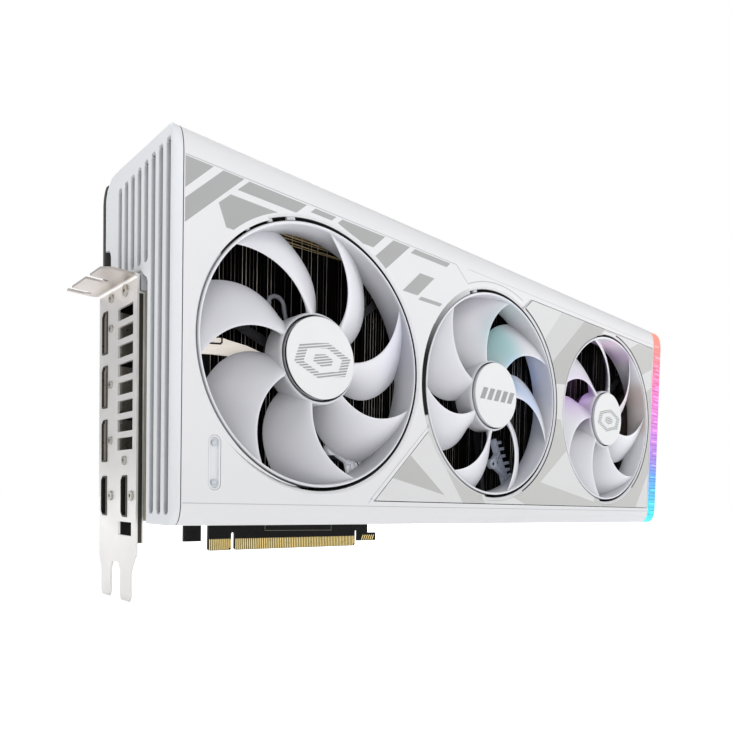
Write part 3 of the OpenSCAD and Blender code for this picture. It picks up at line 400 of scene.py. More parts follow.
# three lit and shaded copies of one blade paint, each fan with its own painted light, shade and coloured reflections
M["blade1"] = blade_material("blade_white_left", [(104, 98, 26, "#CDD0E4", 0.35)], 0.64, 1.12)
M["blade2"] = blade_material("blade_white_middle", [(178, 112, 25, "#A6D6D8", 0.85), (190, 94, 15, "#A6CBF4", 0.9), (204, 82, 17, "#C2D6F6", 0.7),
                                                    (224, 96, 24, "#BCBED0", 0.5), (166, 125, 18, "#D6CFDA", 0.4)], 0.80, 1.14)
M["blade3"] = blade_material("blade_white_right", [(252, 92, 22, "#E3D2EE", 0.8), (268, 82, 12, "#B7A5C6", 0.6), (289, 126, 12, "#F3DDF0", 0.8), (303, 120, 15, "#C3A5CC", 0.8),
                                                   (306, 96, 13, "#F3DFEA", 0.7), (328, 100, 17, "#BDACA4", 0.7), (335, 84, 15, "#C0B4AC", 0.6)], 0.90, 1.16)


def glow_material(name, strength, base):
    """Light bar plastic: the colour runs from coral at the top through pink and violet to cyan."""
    m = bpy.data.materials.new(name)
    m.use_nodes = True
    nt = m.node_tree
    b = nt.nodes["Principled BSDF"]
    co = node(nt, "ShaderNodeTexCoord").outputs["Object"]
    sep = node(nt, "ShaderNodeSeparateXYZ")
    nt.links.new(co, sep.inputs[0])
    wob = ranged(nt, noise(nt, co, 90, 2.0), -0.002, 0.002)
    add = node(nt, "ShaderNodeMath", operation="ADD")
    nt.links.new(sep.outputs["Z"], add.inputs[0])
    nt.links.new(wob, add.inputs[1])
    t = ranged(nt, add.outputs[0], 0.0, 1.0, BOT * MM, TOP * MM)
    ramp = node(nt, "ShaderNodeValToRGB")
    el = ramp.color_ramp.elements
    stops = [(0.0, "#19F0EC"), (0.06, "#26E2F0"), (0.15, "#3CC4F2"), (0.24, "#5C9FF4"), (0.33, "#A085EA"), (0.43, "#C982E6"),
             (0.55, "#E986DE"), (0.68, "#F57CC6"), (0.80, "#FB7FA6"), (0.90, "#FF8E8C"), (1.0, "#FF9A80")]
    el[0].position, el[0].color = stops[0][0], lin(stops[0][1])
    el[1].position, el[1].color = stops[-1][0], lin(stops[-1][1])
    for p, c in stops[1:-1]:
        e = el.new(p)
        e.color = lin(c)
    nt.links.new(t, ramp.inputs["Fac"])
    nt.links.new(mixcol(nt, base, (0.0, 0.0, 0.0, 1.0), ramp.outputs["Color"]), b.inputs["Base Color"])
    nt.links.new(ramp.outputs["Color"], b.inputs["Emission Color"])
    cells = ranged(nt, noise(nt, co, 160, 2.0), strength * 0.9, strength * 1.1)
    nt.links.new(cells, b.inputs["Emission Strength"])
    b.inputs["Roughness"].default_value = 0.35
    bp = node(nt, "ShaderNodeBump")
    bp.inputs["Strength"].default_value = 0.05
    bp.inputs["Distance"].default_value = 0.0002
    nt.links.new(noise(nt, co, 1500, 2.0), bp.inputs["Height"])
    nt.links.new(bp.outputs["Normal"], b.inputs["Normal"])
    return m


M["glow"] = glow_material("bar_glow", 0.80, 0.25)
M["glow_hi"] = glow_material("bar_glow_bright", 1.45, 0.5)
M["glow_lo"] = glow_material("bar_glow_rib", 0.42, 0.30)


# ------------------------------------------------------------------ meshes
def build(name, verts, faces, mats, fmat=None, body="card", sharp=32.0, bevel=0.0, bseg=2, weighted=True, merge=True, smooth=True,
          stands_for=(), recalc=True, keep_sharp=None):
    """Makes a piece from millimetre vertices and puts it on its body."""
    bm = bmesh.new()
    vs = [bm.verts.new((v[0] * MM, v[1] * MM, v[2] * MM)) for v in verts]
    for i, f in enumerate(faces):
        if len(set(f)) < 3:
            continue
        try:
            fc = bm.faces.new([vs[k] for k in f])
        except ValueError:
            continue
        if fmat:
            fc.material_index = fmat[i]
    if merge:
        bmesh.ops.remove_doubles(bm, verts=bm.verts, dist=2e-6)
        bmesh.ops.dissolve_degenerate(bm, edges=bm.edges, dist=1e-6)
    loose = [v for v in bm.verts if not v.link_faces]
    bmesh.ops.delete(bm, geom=loose, context="VERTS")
    if recalc:
        bmesh.ops.recalc_face_normals(bm, faces=bm.faces)
    me = bpy.data.meshes.new(name)
    mark_sharp(bm, sharp, keep_sharp)
    for f in bm.faces:
        f.smooth = smooth
    bm.to_mesh(me)
    bm.free()
    for m in (mats if isinstance(mats, (list, tuple)) else [mats]):
        me.materials.append(m)
    o = bpy.data.objects.new(name, me)
    bpy.context.scene.collection.objects.link(o)
    if bevel > 0:
        bv = o.modifiers.new("edge_round", "BEVEL")
        bv.width = bevel * MM
        bv.segments = bseg
        bv.limit_method = "ANGLE"
        bv.angle_limit = math.radians(sharp)
        bv.use_clamp_overlap = True
        bv.harden_normals = False
    if weighted:
        w = o.modifiers.new("even_shading", "WEIGHTED_NORMAL")
        w.keep_sharp = True
        w.weight = 50
    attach(o, body)
    if stands_for:
        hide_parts(*stands_for)
    return o


def mark_sharp(bm, angle, keep=None):
    lim = math.radians(angle)
    for e in bm.edges:
        if len(e.link_faces) != 2:
            e.smooth = False
            continue
        a = e.calc_face_angle(0.0)
        e.smooth = a < lim
        if keep and keep(e):
            e.smooth = False


def circle(cx, cz, r, n=96, a0=0.0):
    return [(cx + r * math.cos(a0 + 2 * math.pi * i / n), cz + r * math.sin(a0 + 2 * math.pi * i / n)) for i in range(n)]


def inside(p, loop):
    x, y = p
    c = False
    j = len(loop) - 1
    for i in range(len(loop)):
        xi, yi = loop[i]
        xj, yj = loop[j]
        if (yi > y) != (yj > y) and x < (xj - xi) * (y - yi) / (yj - yi) + xi:
            c = not c
        j = i
    return c


def cdt(loops):
    pts, edges = [], []
    for lp in loops:
        n = len(pts)
        pts += [Vector((p[0], p[1])) for p in lp]
        edges += [(n + i, n + (i + 1) % len(lp)) for i in range(len(lp))]
    v, e, f, _, _, _ = delaunay_2d_cdt(pts, edges, [], 0, 1e-5)
    return [(p.x, p.y) for p in v], [list(t) for t in f]


def region(loops, pick):
    """Triangles of the plane cut along the loops, each with the class pick() gives its centre, or left out."""
    v, f = cdt(loops)
    keep, cls = [], []
    for t in f:
        c = (sum(v[k][0] for k in t) / 3, sum(v[k][1] for k in t) / 3)
        a = abs((v[t[1]][0] - v[t[0]][0]) * (v[t[2]][1] - v[t[0]][1]) - (v[t[2]][0] - v[t[0]][0]) * (v[t[1]][1] - v[t[0]][1]))
        if a < 1e-6:
            continue
        k = pick(c)
        if k is None:
            continue
        keep.append(t)
        cls.append(k)
    return v, keep, cls


def plate(name, v2, tris, cls, y0, th, mats, axis="y", **kw):
    """A closed plate with the outline of the triangles. axis y: drawn in X and Z, front at y0, th deep towards +Y."""
    def put(p, d):
        if axis == "y":
            return (p[0], y0 + d, p[1])
        if axis == "x":
            return (y0 + d, p[0], p[1])
        return (p[0], p[1], y0 + d)
    n = len(v2)
    verts = [put(p, 0.0) for p in v2] + [put(p, th) for p in v2]
    faces, fm = [], []
    edges = {}
    for t, c in zip(tris, cls):
        faces.append(list(t))
        fm.append(c)
        faces.append([t[2] + n, t[1] + n, t[0] + n])
        fm.append(c)
        for a, b in ((t[0], t[1]), (t[1], t[2]), (t[2], t[0])):
            key = (min(a, b), max(a, b))
            edges.setdefault(key, []).append((a, b, c))
    for k, u in edges.items():
        if len(u) == 1:
            a, b, c = u[0]
            faces.append([a, a + n, b + n, b])
            fm.append(c)
    return build(name, verts, faces, mats, fm, **kw)


def revolve(cx, cz, prof, n=96, closed=True):
    """Profile of (radius, y) about a line along Y through (cx, cz)."""
    verts, faces = [], []
    for i in range(n):
        a = 2 * math.pi * i / n
        for r, y in prof:
            verts.append((cx + r * math.cos(a), y, cz + r * math.sin(a)))
    k = len(prof)
    for i in range(n):
        j = (i + 1) % n
        for q in range(k if closed else k - 1):
            w = (q + 1) % k
            faces.append([i * k + q, i * k + w, j * k + w, j * k + q])
    return verts, faces


def join(*parts):
    verts, faces, fm = [], [], []
    for v, f, m in parts:
        n = len(verts)
        verts += v
        faces += [[k + n for k in q] for q in f]
        fm += [m] * len(f) if isinstance(m, int) else list(m)
    return verts, faces, fm


def bake(o):
    """Turns a piece's modifiers into its mesh, and keeps its sharp edges."""
    dg = bpy.context.evaluated_depsgraph_get()
    me = bpy.data.meshes.new_from_object(o.evaluated_get(dg), preserve_all_data_layers=True, depsgraph=dg)
    old = o.data
    o.modifiers.clear()
    o.data = me
    bpy.data.meshes.remove(old)


# ------------------------------------------------------------------ front shell
def seg(n):
    return range(n + 1)


def shell_section(inset=0.0):
    """Outer outline of the shell in (y, z), from the lower seam round the front to the upper seam."""
    p = [(SEAM_Y, BOT)]
    p += [(FRONT + FALL + FALL * math.cos(math.radians(270 - 90 * i / 18)), Z_LO + BAND_B * math.sin(math.radians(270 - 90 * i / 18))) for i in seg(18)]
    p += [(FRONT + FALL + FALL * math.cos(math.radians(180 - 90 * i / 18)), Z_HI + BAND_T * math.sin(math.radians(180 - 90 * i / 18))) for i in seg(18)]
    p += [(SEAM_Y, TOP)]
    return p


ACCENT = [(89.0, 24.3), (340.2, 24.3), (340.2, 136.4), (198.6, 136.4), (191.0, 129.5), (175.0, 100.0), (150.0, 70.0), (123.2, 59.7)]


def accent_shape(g):
    """The accent area pulled in by g."""
    lo, d = 24.3 + g, 0.72 * g
    return [(89.0 + g * 2.4, lo), (340.2 - g, lo), (340.2 - g, 136.4 - g), (198.6 + d, 136.4 - g), (191.0 + d, 129.5 - d),
            (175.0, 100.0), (150.0, 70.0), (123.2 + d, 59.7 - d)]


def front_shell():
    rect = [(X0, Z_LO), (X1, Z_LO), (X1, Z_HI), (X0, Z_HI)]
    rings = [circle(x, z, R_CHAM, 128) for x, z in FANS]
    lips = [circle(x, z, R_CHAM + 0.25, 128) for x, z in FANS[1:]]
    hole = ACCENT
    pill = pill_loop(0.0)

    def pick(c):
        if not inside(c, rect) or any(inside(c, r) for r in rings) or inside(c, pill):
            return None
        if inside(c, hole) and not any(inside(c, r) for r in lips):
            return None
        return 0
    v, t, cls = region([rect, hole, pill] + rings + lips, pick)
    verts = [(p[0], FRONT, p[1]) for p in v]
    faces, fm = list(t), list(cls)
    sec = shell_section()
    n = len(verts)
    for x in (X0, X1):
        verts += [(x, y, z) for y, z in sec]
    k = len(sec)
    for i in range(k - 1):
        if i == 19:
            continue                       # the flat front is the plane above
        faces.append([n + i, n + k + i, n + k + i + 1, n + i + 1])
        fm.append(0)
    for x, z in FANS:
        prof = [(R_CHAM, FRONT), (R_CHAM - 0.22, FRONT + 0.06), (R_OPEN + 0.18, FRONT + 0.95), (R_OPEN, FRONT + 1.2), (R_OPEN, -57.0), (R_OPEN, -49.8)]
        a, b = revolve(x, z, prof, 128, closed=False)
        n = len(verts)
        verts += a
        for i, q in enumerate(b):
            faces.append([m + n for m in reversed(q)])
            # the bevel keeps the white paint; the duct wall deeper in the opening gets the near-black painted shade
            fm.append(0 if (i % 5) < 2 else 1)
    o = build("front_shell", verts, faces, [M["shell"], M["gap"], M["shell"]], fm, sharp=26, weighted=False, recalc=False,
              keep_sharp=None, stands_for=("front_shroud",))
    s = o.modifiers.new("wall", "SOLIDIFY")
    s.thickness = 1.7 * MM
    s.offset = -1.0
    s.use_even_offset = False
    bake(o)
    bm = bmesh.new()
    bm.from_mesh(o.data)
    mark_sharp(bm, 26)
    for f in bm.faces:
        f.smooth = True
    bm.to_mesh(o.data)
    bm.free()
    w = o.modifiers.new("even_shading", "WEIGHTED_NORMAL")
    w.keep_sharp = True
    return o


PILL = (16.2, 36.6, 2.35, 9.75)


def pill_loop(g, n=12):
    x, z, hw, hh = PILL
    r = hw - g
    top = [(x + r * math.cos(math.pi * i / n), z + hh - hw + r * math.sin(math.pi * i / n)) for i in range(n + 1)]
    bot = [(x - r * math.cos(math.pi * i / n), z - hh + hw - r * math.sin(math.pi * i / n)) for i in range(n + 1)]
    return top + bot


def slot():
    """The small capsule inlay low on the left with a pin at each end."""
    def one(c):
        return 0
    verts, faces, fm = [], [], []
    # stepped tray: a rim, a wall and a floor
    rings = [(0.12, 0.15), (0.42, 0.05), (0.62, 0.10), (0.95, 0.85), (1.15, 0.95)]
    k = len(pill_loop(0.0))
    for g, d in rings:
        verts += [(p[0], FRONT + d, p[1]) for p in pill_loop(g)]
    for q in range(len(rings) - 1):
        for i in range(k):
            j = (i + 1) % k
            faces.append([q * k + i, q * k + j, (q + 1) * k + j, (q + 1) * k + i])
    faces.append([(len(rings) - 1) * k + i for i in range(k)])
    n = len(verts)
    verts += [(p[0], FRONT + 1.6, p[1]) for p in pill_loop(0.12)]
    for i in range(k):
        j = (i + 1) % k
        faces.append([i, n + i, n + j, j])
    faces.append([n + i for i in reversed(range(k))])
    build("slot_tray", verts, faces, M["inlay"], sharp=35, stands_for=("slot_inlay",))
    parts = []
    for s in (-1, 1):
        z = PILL[1] + s * 6.9
        v, f = revolve(PILL[0], z, [(0.0001, FRONT + 0.18), (0.55, FRONT + 0.2), (0.85, FRONT + 0.32), (1.0, FRONT + 0.55), (1.0, FRONT + 1.3), (0.0001, FRONT + 1.3)], 28)
        parts.append((v, f, 0))
    v, f, m = join(*parts)
    build("slot_pin_heads", v, f, M["pin"], sharp=50, stands_for=("slot_pins",))


FACETS = [
    ("acc3", [(110.4, 45.6), (99.9, 34.9), (133.3, 28.1)]),
    ("acc2", [(120.6, 57.6), (146.9, 24.0), (164.0, 24.0), (161.0, 28.0), (160.0, 45.0), (140.0, 62.0), (124.0, 64.0)]),
    ("acc2", [(185.9, 28.7), (199.4, 24.0), (322.8, 24.0), (339.3, 48.5), (340.9, 49.0), (340.9, 109.6), (333.4, 105.1), (283.0, 80.0), (268.8, 27.5), (211.3, 37.5), (190.0, 60.0)]),
    ("acc2", [(229.5, 74.5), (237.2, 57.7), (211.2, 37.5), (190.0, 60.0), (205.0, 76.0)]),
    ("acc1", [(228.0, 137.0), (252.4, 137.0), (209.3, 97.3), (201.5, 106.1)]),
    ("acc3", [(252.4, 137.0), (276.5, 137.0), (272.5, 133.9), (277.0, 112.0), (240.0, 96.0), (226.0, 94.9), (215.0, 92.0), (209.3, 97.3)]),
    ("acc2", [(308.5, 130.6), (317.9, 135.2), (341.0, 136.6), (341.0, 122.1), (325.5, 115.3), (300.0, 110.0)]),
]


def accent():
    shape = accent_shape(0.38)
    def ring(i):
        x, z = FANS[i]
        lo_, hi_ = ((205, 262) if i == 1 else (100, 262))
        out = []
        for k in range(160):
            d = 360.0 * k / 160
            r = 52.35 if lo_ < d < hi_ else R_CHAM + 0.4
            out.append((x + r * math.cos(math.radians(d)), z + r * math.sin(math.radians(d))))
        return out
    rings = [ring(1), ring(2)]
    mats = [M["acc0"], M["acc1"], M["acc2"], M["acc3"]]
    idx = {"acc0": 0, "acc1": 1, "acc2": 2, "acc3": 3}

    def pick(c):
        if not inside(c, shape) or any(inside(c, r) for r in rings):
            return None
        for name, poly in FACETS:
            if inside(c, poly):
                return idx[name]
        return 0
    v, t, cls = region([shape] + rings + [p for _, p in FACETS], pick)
    plate("accent_facets", v, t, cls, FRONT - 0.012, 1.4, mats, sharp=40, stands_for=("accent_panel",))


def prints():
    """Grey angular marks along the top of the shell, clipped by the first two openings."""
    rings = [circle(x, z, R_CHAM + 0.05, 128) for x, z in FANS[:2]]
    shapes = [
        [(4.7, 138.1), (14.6, 138.1), (4.7, 127.6)],
        [(18.2, 138.1), (26.2, 138.1), (4.7, 116.2), (4.7, 124.2)],
        [(28.2, 137.9), (52.6, 137.9), (47.9, 133.4), (23.6, 133.4)],
        [(21.0, 130.9), (42.0, 130.9), (30.0, 119.0), (19.5, 119.0), (16.6, 126.6)],
        [(54.4, 135.8), (56.6, 137.9), (66.6, 137.9), (64.4, 135.8)],
        [(67.4, 135.8), (69.6, 137.9), (92.4, 137.9), (86.0, 131.6), (79.5, 131.6)],
        [(97.2, 137.9), (107.0, 137.9), (93.2, 124.6), (86.0, 127.2)],
        [(107.6, 135.5), (110.1, 137.9), (133.2, 137.9), (130.7, 135.5)],
        [(113.6, 128.2), (122.8, 128.2), (112.4, 117.9), (103.2, 117.9)],
        [(114.6, 117.9), (128.4, 117.9), (126.8, 116.2), (112.9, 116.2)],
    ]
    v, t, cls = region(shapes + rings, lambda c: 0 if any(inside(c, s) for s in shapes) and not any(inside(c, r) for r in rings) else None)
    plate("shell_print", v, t, cls, FRONT - 0.0, 0.35, M["print"], sharp=40)
    o = bpy.data.objects["shell_print"]
    # sits 0.02 mm proud of the paint but inside the card's box
    o.data.transform(Matrix.Translation((0, -0.00002, 0)))


def strip(a, b, w):
    d = Vector((b[0] - a[0], b[1] - a[1])).normalized()
    n = Vector((-d.y, d.x)) * (w / 2)
    return [(a[0] + n.x, a[1] + n.y), (a[0] - n.x, a[1] - n.y), (b[0] - n.x, b[1] - n.y), (b[0] + n.x, b[1] + n.y)]


def lines():
    """Thin seams scored in the front face."""
    polys = [strip((X0 + 0.4, Z_HI - 0.1), (137.4, Z_HI - 0.1), 0.34), strip((137.2, Z_HI), (145.6, 132.1), 0.4),
             strip((146.0, Z_HI), (X1 - 0.3, Z_HI), 0.2), strip((X0 + 0.4, Z_LO + 0.1), (X1 - 0.3, Z_LO + 0.1), 0.3),
             strip((190.6, 130.0), (197.6, 136.2), 1.1), strip((87.2, 25.0), (121.6, 60.4), 0.32), strip((86.2, 23.5), (88.4, 25.6), 0.3)]
    fx, fz = FANS[1]
    a0, a1, n = 116.0, 70.0, 30
    outer = [(fx + 56.7 * math.cos(math.radians(a0 + (a1 - a0) * i / n)), fz + 56.7 * math.sin(math.radians(a0 + (a1 - a0) * i / n))) for i in seg(n)]
    inner = [(fx + 56.2 * math.cos(math.radians(a0 + (a1 - a0) * i / n)), fz + 56.2 * math.sin(math.radians(a0 + (a1 - a0) * i / n))) for i in seg(n)]
    polys.append(outer + inner[::-1])
    v, t, cls = region(polys, lambda c: 0 if any(inside(c, p) for p in polys) else None)
    plate("shell_seams", v, t, cls, FRONT - 0.015, 0.3, M["line"], sharp=40)


# ------------------------------------------------------------------ ribbed end frame
def end_frame():
    a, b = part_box("end_frame")
    fx0, fx1 = a.x / MM, b.x / MM
    edge = -42.0
    gy = [-15.1 - 6.27 * k for k in range(8)]
    hw = 1.8

    def ztop(y):
        if y < FRONT + FALL:
            u = (FRONT + FALL - y) / FALL
            return Z_HI + BAND_T * math.sqrt(max(0.0, 1 - u * u))
        if y <= -14:
            return TOP
        for (ya, za), (yb, zb) in zip([(-14, TOP), (-6, TOP - 0.3), (-1.5, 146.0)], [(-6, TOP - 0.3), (-1.5, 146.0), (1.0, 141.0)]):
            if y <= yb:
                return za + (zb - za) * (y - ya) / (yb - ya)
        return 141.0

    def zbot(y):
        if y < FRONT + FALL:
            u = (FRONT + FALL - y) / FALL
            return Z_LO - BAND_B * math.sqrt(max(0.0, 1 - u * u))
        if y < edge:
            return BOT
        for (ya, za), (yb, zb) in zip([(edge, 99.5), (edge + 1.2, 102.2), (edge + 4, 103.6)], [(edge + 1.2, 102.2), (edge + 4, 103.6), (edge + 7, 105.6)]):
            if y <= yb:
                return za + (zb - za) * (y - ya) / (yb - ya)
        return 105.6

    def depth(y, z):
        d = 0.0
        for k, c in enumerate(gy):
            if abs(y - c) > 2.2:
                continue
            z0 = 107.8 if k < 5 else 18.0
            z1 = 141.6 + 0.5 * k
            zz = min(max(z, z0 + hw), z1 - hw)
            r = math.hypot(y - c, z - zz)
            t = min(1.0, max(0.0, (hw - r) / 0.4))
            d = max(d, 2.15 * (t * t * (3 - 2 * t)))
        # half-round relief beside the board edge
        if -6.2 < y < 0.4:
            r = math.hypot((y + 0.0) / 5.6, max(0.0, z - 117.2) / 4.4, )
            if z < 122.2 and z > 105.0:
                t = min(1.0, max(0.0, (1.0 - r) / 0.12))
                d = max(d, 2.3 * t)
        return d

    ys = set()
    y = FRONT
    for i in range(13):
        ys.add(round(fx1 - fx0 and (FRONT + 2.7) - 2.7 * math.cos(math.pi / 2 * i / 12) , 4))
    for c in gy:
        for u in (-2.3, -1.8, -1.72, -1.64, -1.56, -1.48, -1.38, -0.7, 0.0, 0.7, 1.38, 1.48, 1.56, 1.64, 1.72, 1.8, 2.3):
            ys.add(round(c + u, 4))
    for u in (-42.0, -41.99, -41.4, -40.8, -38.0, -35.0, -14.0, -10.0, -7.5, -6.4, -6.0, -5.7, -5.5, -5.2, -4.9, -4.4, -3.6, -2.6, -1.5, -0.8, -0.2, 0.4, 1.0):
        ys.add(u)
    ys = sorted(v for v in ys if FRONT - 1e-6 <= v <= 1.0)
    zs = [14.8, 15.6, 16.4, 17.2] + [18.0 + 0.16 * i for i in range(22)] + [30, 50, 70, 90, 98] + [106.2, 106.8, 107.4] + [107.8 + 0.16 * i for i in range(22)] \
        + [112, 113.5, 115, 116.4, 117.2, 118, 118.8, 119.6, 120.3, 120.9, 121.3, 121.6, 121.9, 122.4, 126, 132, 136] + [138 + 0.18 * i for i in range(44)]
    offs = [1.3, 0.85, 0.5, 0.25, 0.08, 0.0]
    verts, faces, fm = [], [], []
    rows = len(zs) + 2 * len(offs)
    for yv in ys:
        zt, zb = ztop(yv), zbot(yv)
        if yv == -42.0:
            zb = BOT
        col = [zb + o for o in offs[::-1]] + [min(max(z, zb + offs[0]), zt - offs[0]) for z in zs] + [zt - o for o in offs]
        if yv < FRONT + 2.7:
            u = (FRONT + 2.7 - yv) / 2.7
            corner = (fx1 - fx0) * (1 - math.sqrt(max(0.0, 1 - u * u)))
        else:
            corner = 0.0
        if yv > -0.2:
            corner += 0.35 * ((yv + 0.2) / 1.2) ** 2
        for z in col:
            r = min(zt - z, z - zb)
            e = 0.0
            if r < 1.3:
                e = 0.75 * (1 - math.sqrt(max(0.0, 1 - (1 - r / 1.3) ** 2)))
            x = fx0 + min(fx1 - fx0, max(corner, 0) + e + depth(yv, z))
            verts.append((min(x, fx1 - 0.02), yv, z))
            fm.append(0)
    fmt = []
    for i in range(len(ys) - 1):
        for j in range(rows - 1):
            p = [i * rows + j, i * rows + j + 1, (i + 1) * rows + j + 1, (i + 1) * rows + j]
            if ys[i] == -42.0:
                # step from the part in front of the bracket to the part above it
                pass
            faces.append(p)
            cy_ = (ys[i] + ys[i + 1]) / 2
            cz_ = (verts[p[0]][2] + verts[p[1]][2]) / 2
            # the floors of the grooves get the near-black painted shade
            fmt.append(1 if depth(cy_, cz_) > 2.05 else 0)
    bm = bmesh.new()
    vs = [bm.verts.new((v[0] * MM, v[1] * MM, v[2] * MM)) for v in verts]
    for f, m in zip(faces, fmt):
        try:
            q = bm.faces.new([vs[k] for k in f])
            q.material_index = m
        except ValueError:
            pass
    bmesh.ops.remove_doubles(bm, verts=bm.verts, dist=2e-6)
    bmesh.ops.dissolve_degenerate(bm, edges=bm.edges, dist=1e-6)
    be = [e for e in bm.edges if len(e.link_faces) == 1]
    r = bmesh.ops.extrude_edge_only(bm, edges=be)
    nv = [g for g in r["geom"] if isinstance(g, bmesh.types.BMVert)]
    for v in nv:
        v.co.x = fx1 * MM
    be = [e for e in bm.edges if len(e.link_faces) == 1]
    bmesh.ops.remove_doubles(bm, verts=list({v for e in be for v in e.verts}), dist=1e-6)
    be = [e for e in bm.edges if len(e.link_faces) == 1]
    bmesh.ops.holes_fill(bm, edges=be, sides=0)
    bmesh.ops.recalc_face_normals(bm, faces=bm.faces)
    mark_sharp(bm, 38)
    for f in bm.faces:
        f.smooth = True
    me = bpy.data.meshes.new("ribbed_end")
    bm.to_mesh(me)
    bm.free()
    me.materials.append(M["rib"])
    me.materials.append(M["gap"])
    o = bpy.data.objects.new("ribbed_end", me)
    bpy.context.scene.collection.objects.link(o)
    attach(o, "card")
    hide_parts("end_frame")
    return o


# ------------------------------------------------------------------ fans
def lead_angle(s):
    return 0.1820 * s + 0.4909 * s * s - 0.1065 * s ** 3


def chord_angle(s):
    """Angle from the trailing edge to the leading edge."""
    return (1.8655 + 0.1820 * s + 0.4909 * s * s - 0.1065 * s ** 3) - (1.3225 - 0.1100 * s + 0.9450 * s * s - 0.3125 * s ** 3)


HUB_R, RIM_IN, RIM_OUT = 18.1, 50.3, 51.5


def blade(cx, cz, phase, dirn):
    """One swept, twisted blade from the hub to the rim, as a closed loft."""
    nr, nc = 22, 13
    verts, faces = [], []
    for i in range(nr + 1):
        r = 17.2 + (51.0 - 17.2) * i / nr
        s = (r - 17.0) / 35.0
        a_l = lead_angle(s)
        ch = chord_angle(s)
        y_l, y_t = -61.9 - 1.0 * s, -51.2 + 1.0 * s
        root = math.exp(-(r - 17.2) / 2.6)
        tip = math.exp(-(51.0 - r) / 1.6)
        th = (1.9 - 0.9 * s) * (1 + 1.1 * root + 0.5 * tip)
        up, dn = [], []
        for j in range(nc + 1):
            c = 0.5 - 0.5 * math.cos(math.pi * j / nc)
            ang = a_l - ch * c
            yy = y_l + (y_t - y_l) * (0.80 * c ** 1.0 + 0.20 * c ** 2.2)
            # direction along the section, for the thickness
            dy = (y_t - y_l) * (0.80 + 0.44 * c ** 1.2)
            da = -ch * r
            L = math.hypot(dy, da)
            ny, na = -da / L, dy / L            # normal towards +Y side of the section
            shape = 0.16 + 0.84 * math.sin(math.pi * min(1.0, max(0.0, c)) ** 0.72) ** 0.75 if 0 < c < 1 else 0.16
            half = th * 0.5 * shape
            if j == 0 or j == nc:
                half *= 0.55
            up.append((r, ang - na * half / r, yy - ny * half))
            dn.append((r, ang + na * half / r, yy + ny * half))
        ring = up + dn[::-1]
        for rr, ag, yv in ring:
            g = phase + dirn * ag
            verts.append((cx + rr * math.cos(g), yv, cz + rr * math.sin(g)))
    k = 2 * (nc + 1)
    for i in range(nr):
        for j in range(k):
            w = (j + 1) % k
            faces.append([i * k + j, i * k + w, (i + 1) * k + w, (i + 1) * k + j])
    faces.append([j for j in range(k)])
    faces.append([nr * k + j for j in reversed(range(k))])
    return verts, faces


def fan(n, phase_deg, dirn):
    cx, cz = FANS[n - 1]
    parts = []
    for k in range(7):
        ph = math.radians(phase_deg + k * 360.0 / 7)
        v, f = blade(cx, cz, ph, dirn)
        parts.append((v, f, 0))
    # rim ring with a rolled front edge
    rim = [(RIM_OUT, -50.6), (RIM_OUT, -63.4), (RIM_OUT - 0.06, -63.9), (RIM_OUT - 0.28, -64.16), (RIM_OUT - 0.62, -64.22), (RIM_OUT - 0.95, -64.1),
           (RIM_OUT - 1.16, -63.75), (RIM_IN, -63.0), (RIM_IN - 0.15, -58.0), (RIM_IN, -51.0), (RIM_IN + 0.35, -50.4), (RIM_OUT - 0.3, -50.3)]
    v, f = revolve(cx, cz, rim, 144)
    parts.append((v, f, 0))
    # hub shell: rounded front lip, a channel round the cap painted dark as shade, hollow behind
    hub = [(HUB_R, -51.4), (HUB_R + 0.05, -60.6), (HUB_R - 0.10, -61.6), (HUB_R - 0.45, -62.15), (HUB_R - 0.8, -62.3), (17.12, -62.2), (17.0, -61.9), (16.98, -60.6), (16.2, -60.4),
           (15.9, -60.2), (15.9, -59.3), (16.5, -59.0), (16.5, -51.4)]
    v, f = revolve(cx, cz, hub, 96)
    fmh = []
    kk = len(hub)
    for i in range(len(f)):
        fmh.append(1 if (i % kk) in (6, 7) else 0)
    parts.append((v, f, fmh))
    # web behind the cap with its boss for the shaft
    web = [(3.4, -57.4), (1.55, -57.4), (1.55, -62.1), (16.1, -62.1), (16.1, -60.3), (4.2, -60.3), (3.4, -59.6)]
    v, f = revolve(cx, cz, web, 64)
    parts.append((v, f, 0))
    v, f, m = join(*parts)
    o = build(f"fan{n}_impeller", v, f, [M[f"blade{n}"], M["gap"]], m, body=f"fan{n}_rotor_body", sharp=42, weighted=False, merge=False, recalc=True,
              stands_for=(f"fan{n}_rotor",))
    return o


def cap(n):
    cx, cz = FANS[n - 1]
    y = CAP_Y
    g = 0.0 if n == 1 else 0.42
    prof = [(0.0001, y), (6.0, y), (12.0, y + 0.01), (15.7 + g, y + 0.03), (16.0 + g, y + 0.08), (16.15 + g, y + 0.2), (16.2 + g, y + 0.36), (16.05 + g, y + 0.46),
            (15.9 + g * 1.3, y + 0.5), (15.9 + g * 1.3, y + 2.0), (0.0001, y + 2.0)]
    v, f = revolve(cx, cz, prof, 96)
    # painted shade on the cap's side wall: near black on the first fan, a darker grey on the others
    fm = [(1 if n == 1 else 2) if (i % len(prof)) in (6, 7, 8, 9) else 0 for i in range(len(f))]
    return build(f"fan{n}_cap_disc", v, f, [M["cap"], M["gap"], M["capwall"]], fm, body=f"fan{n}_rotor_body", sharp=40, weighted=True, stands_for=(f"fan{n}_hub_cap",))


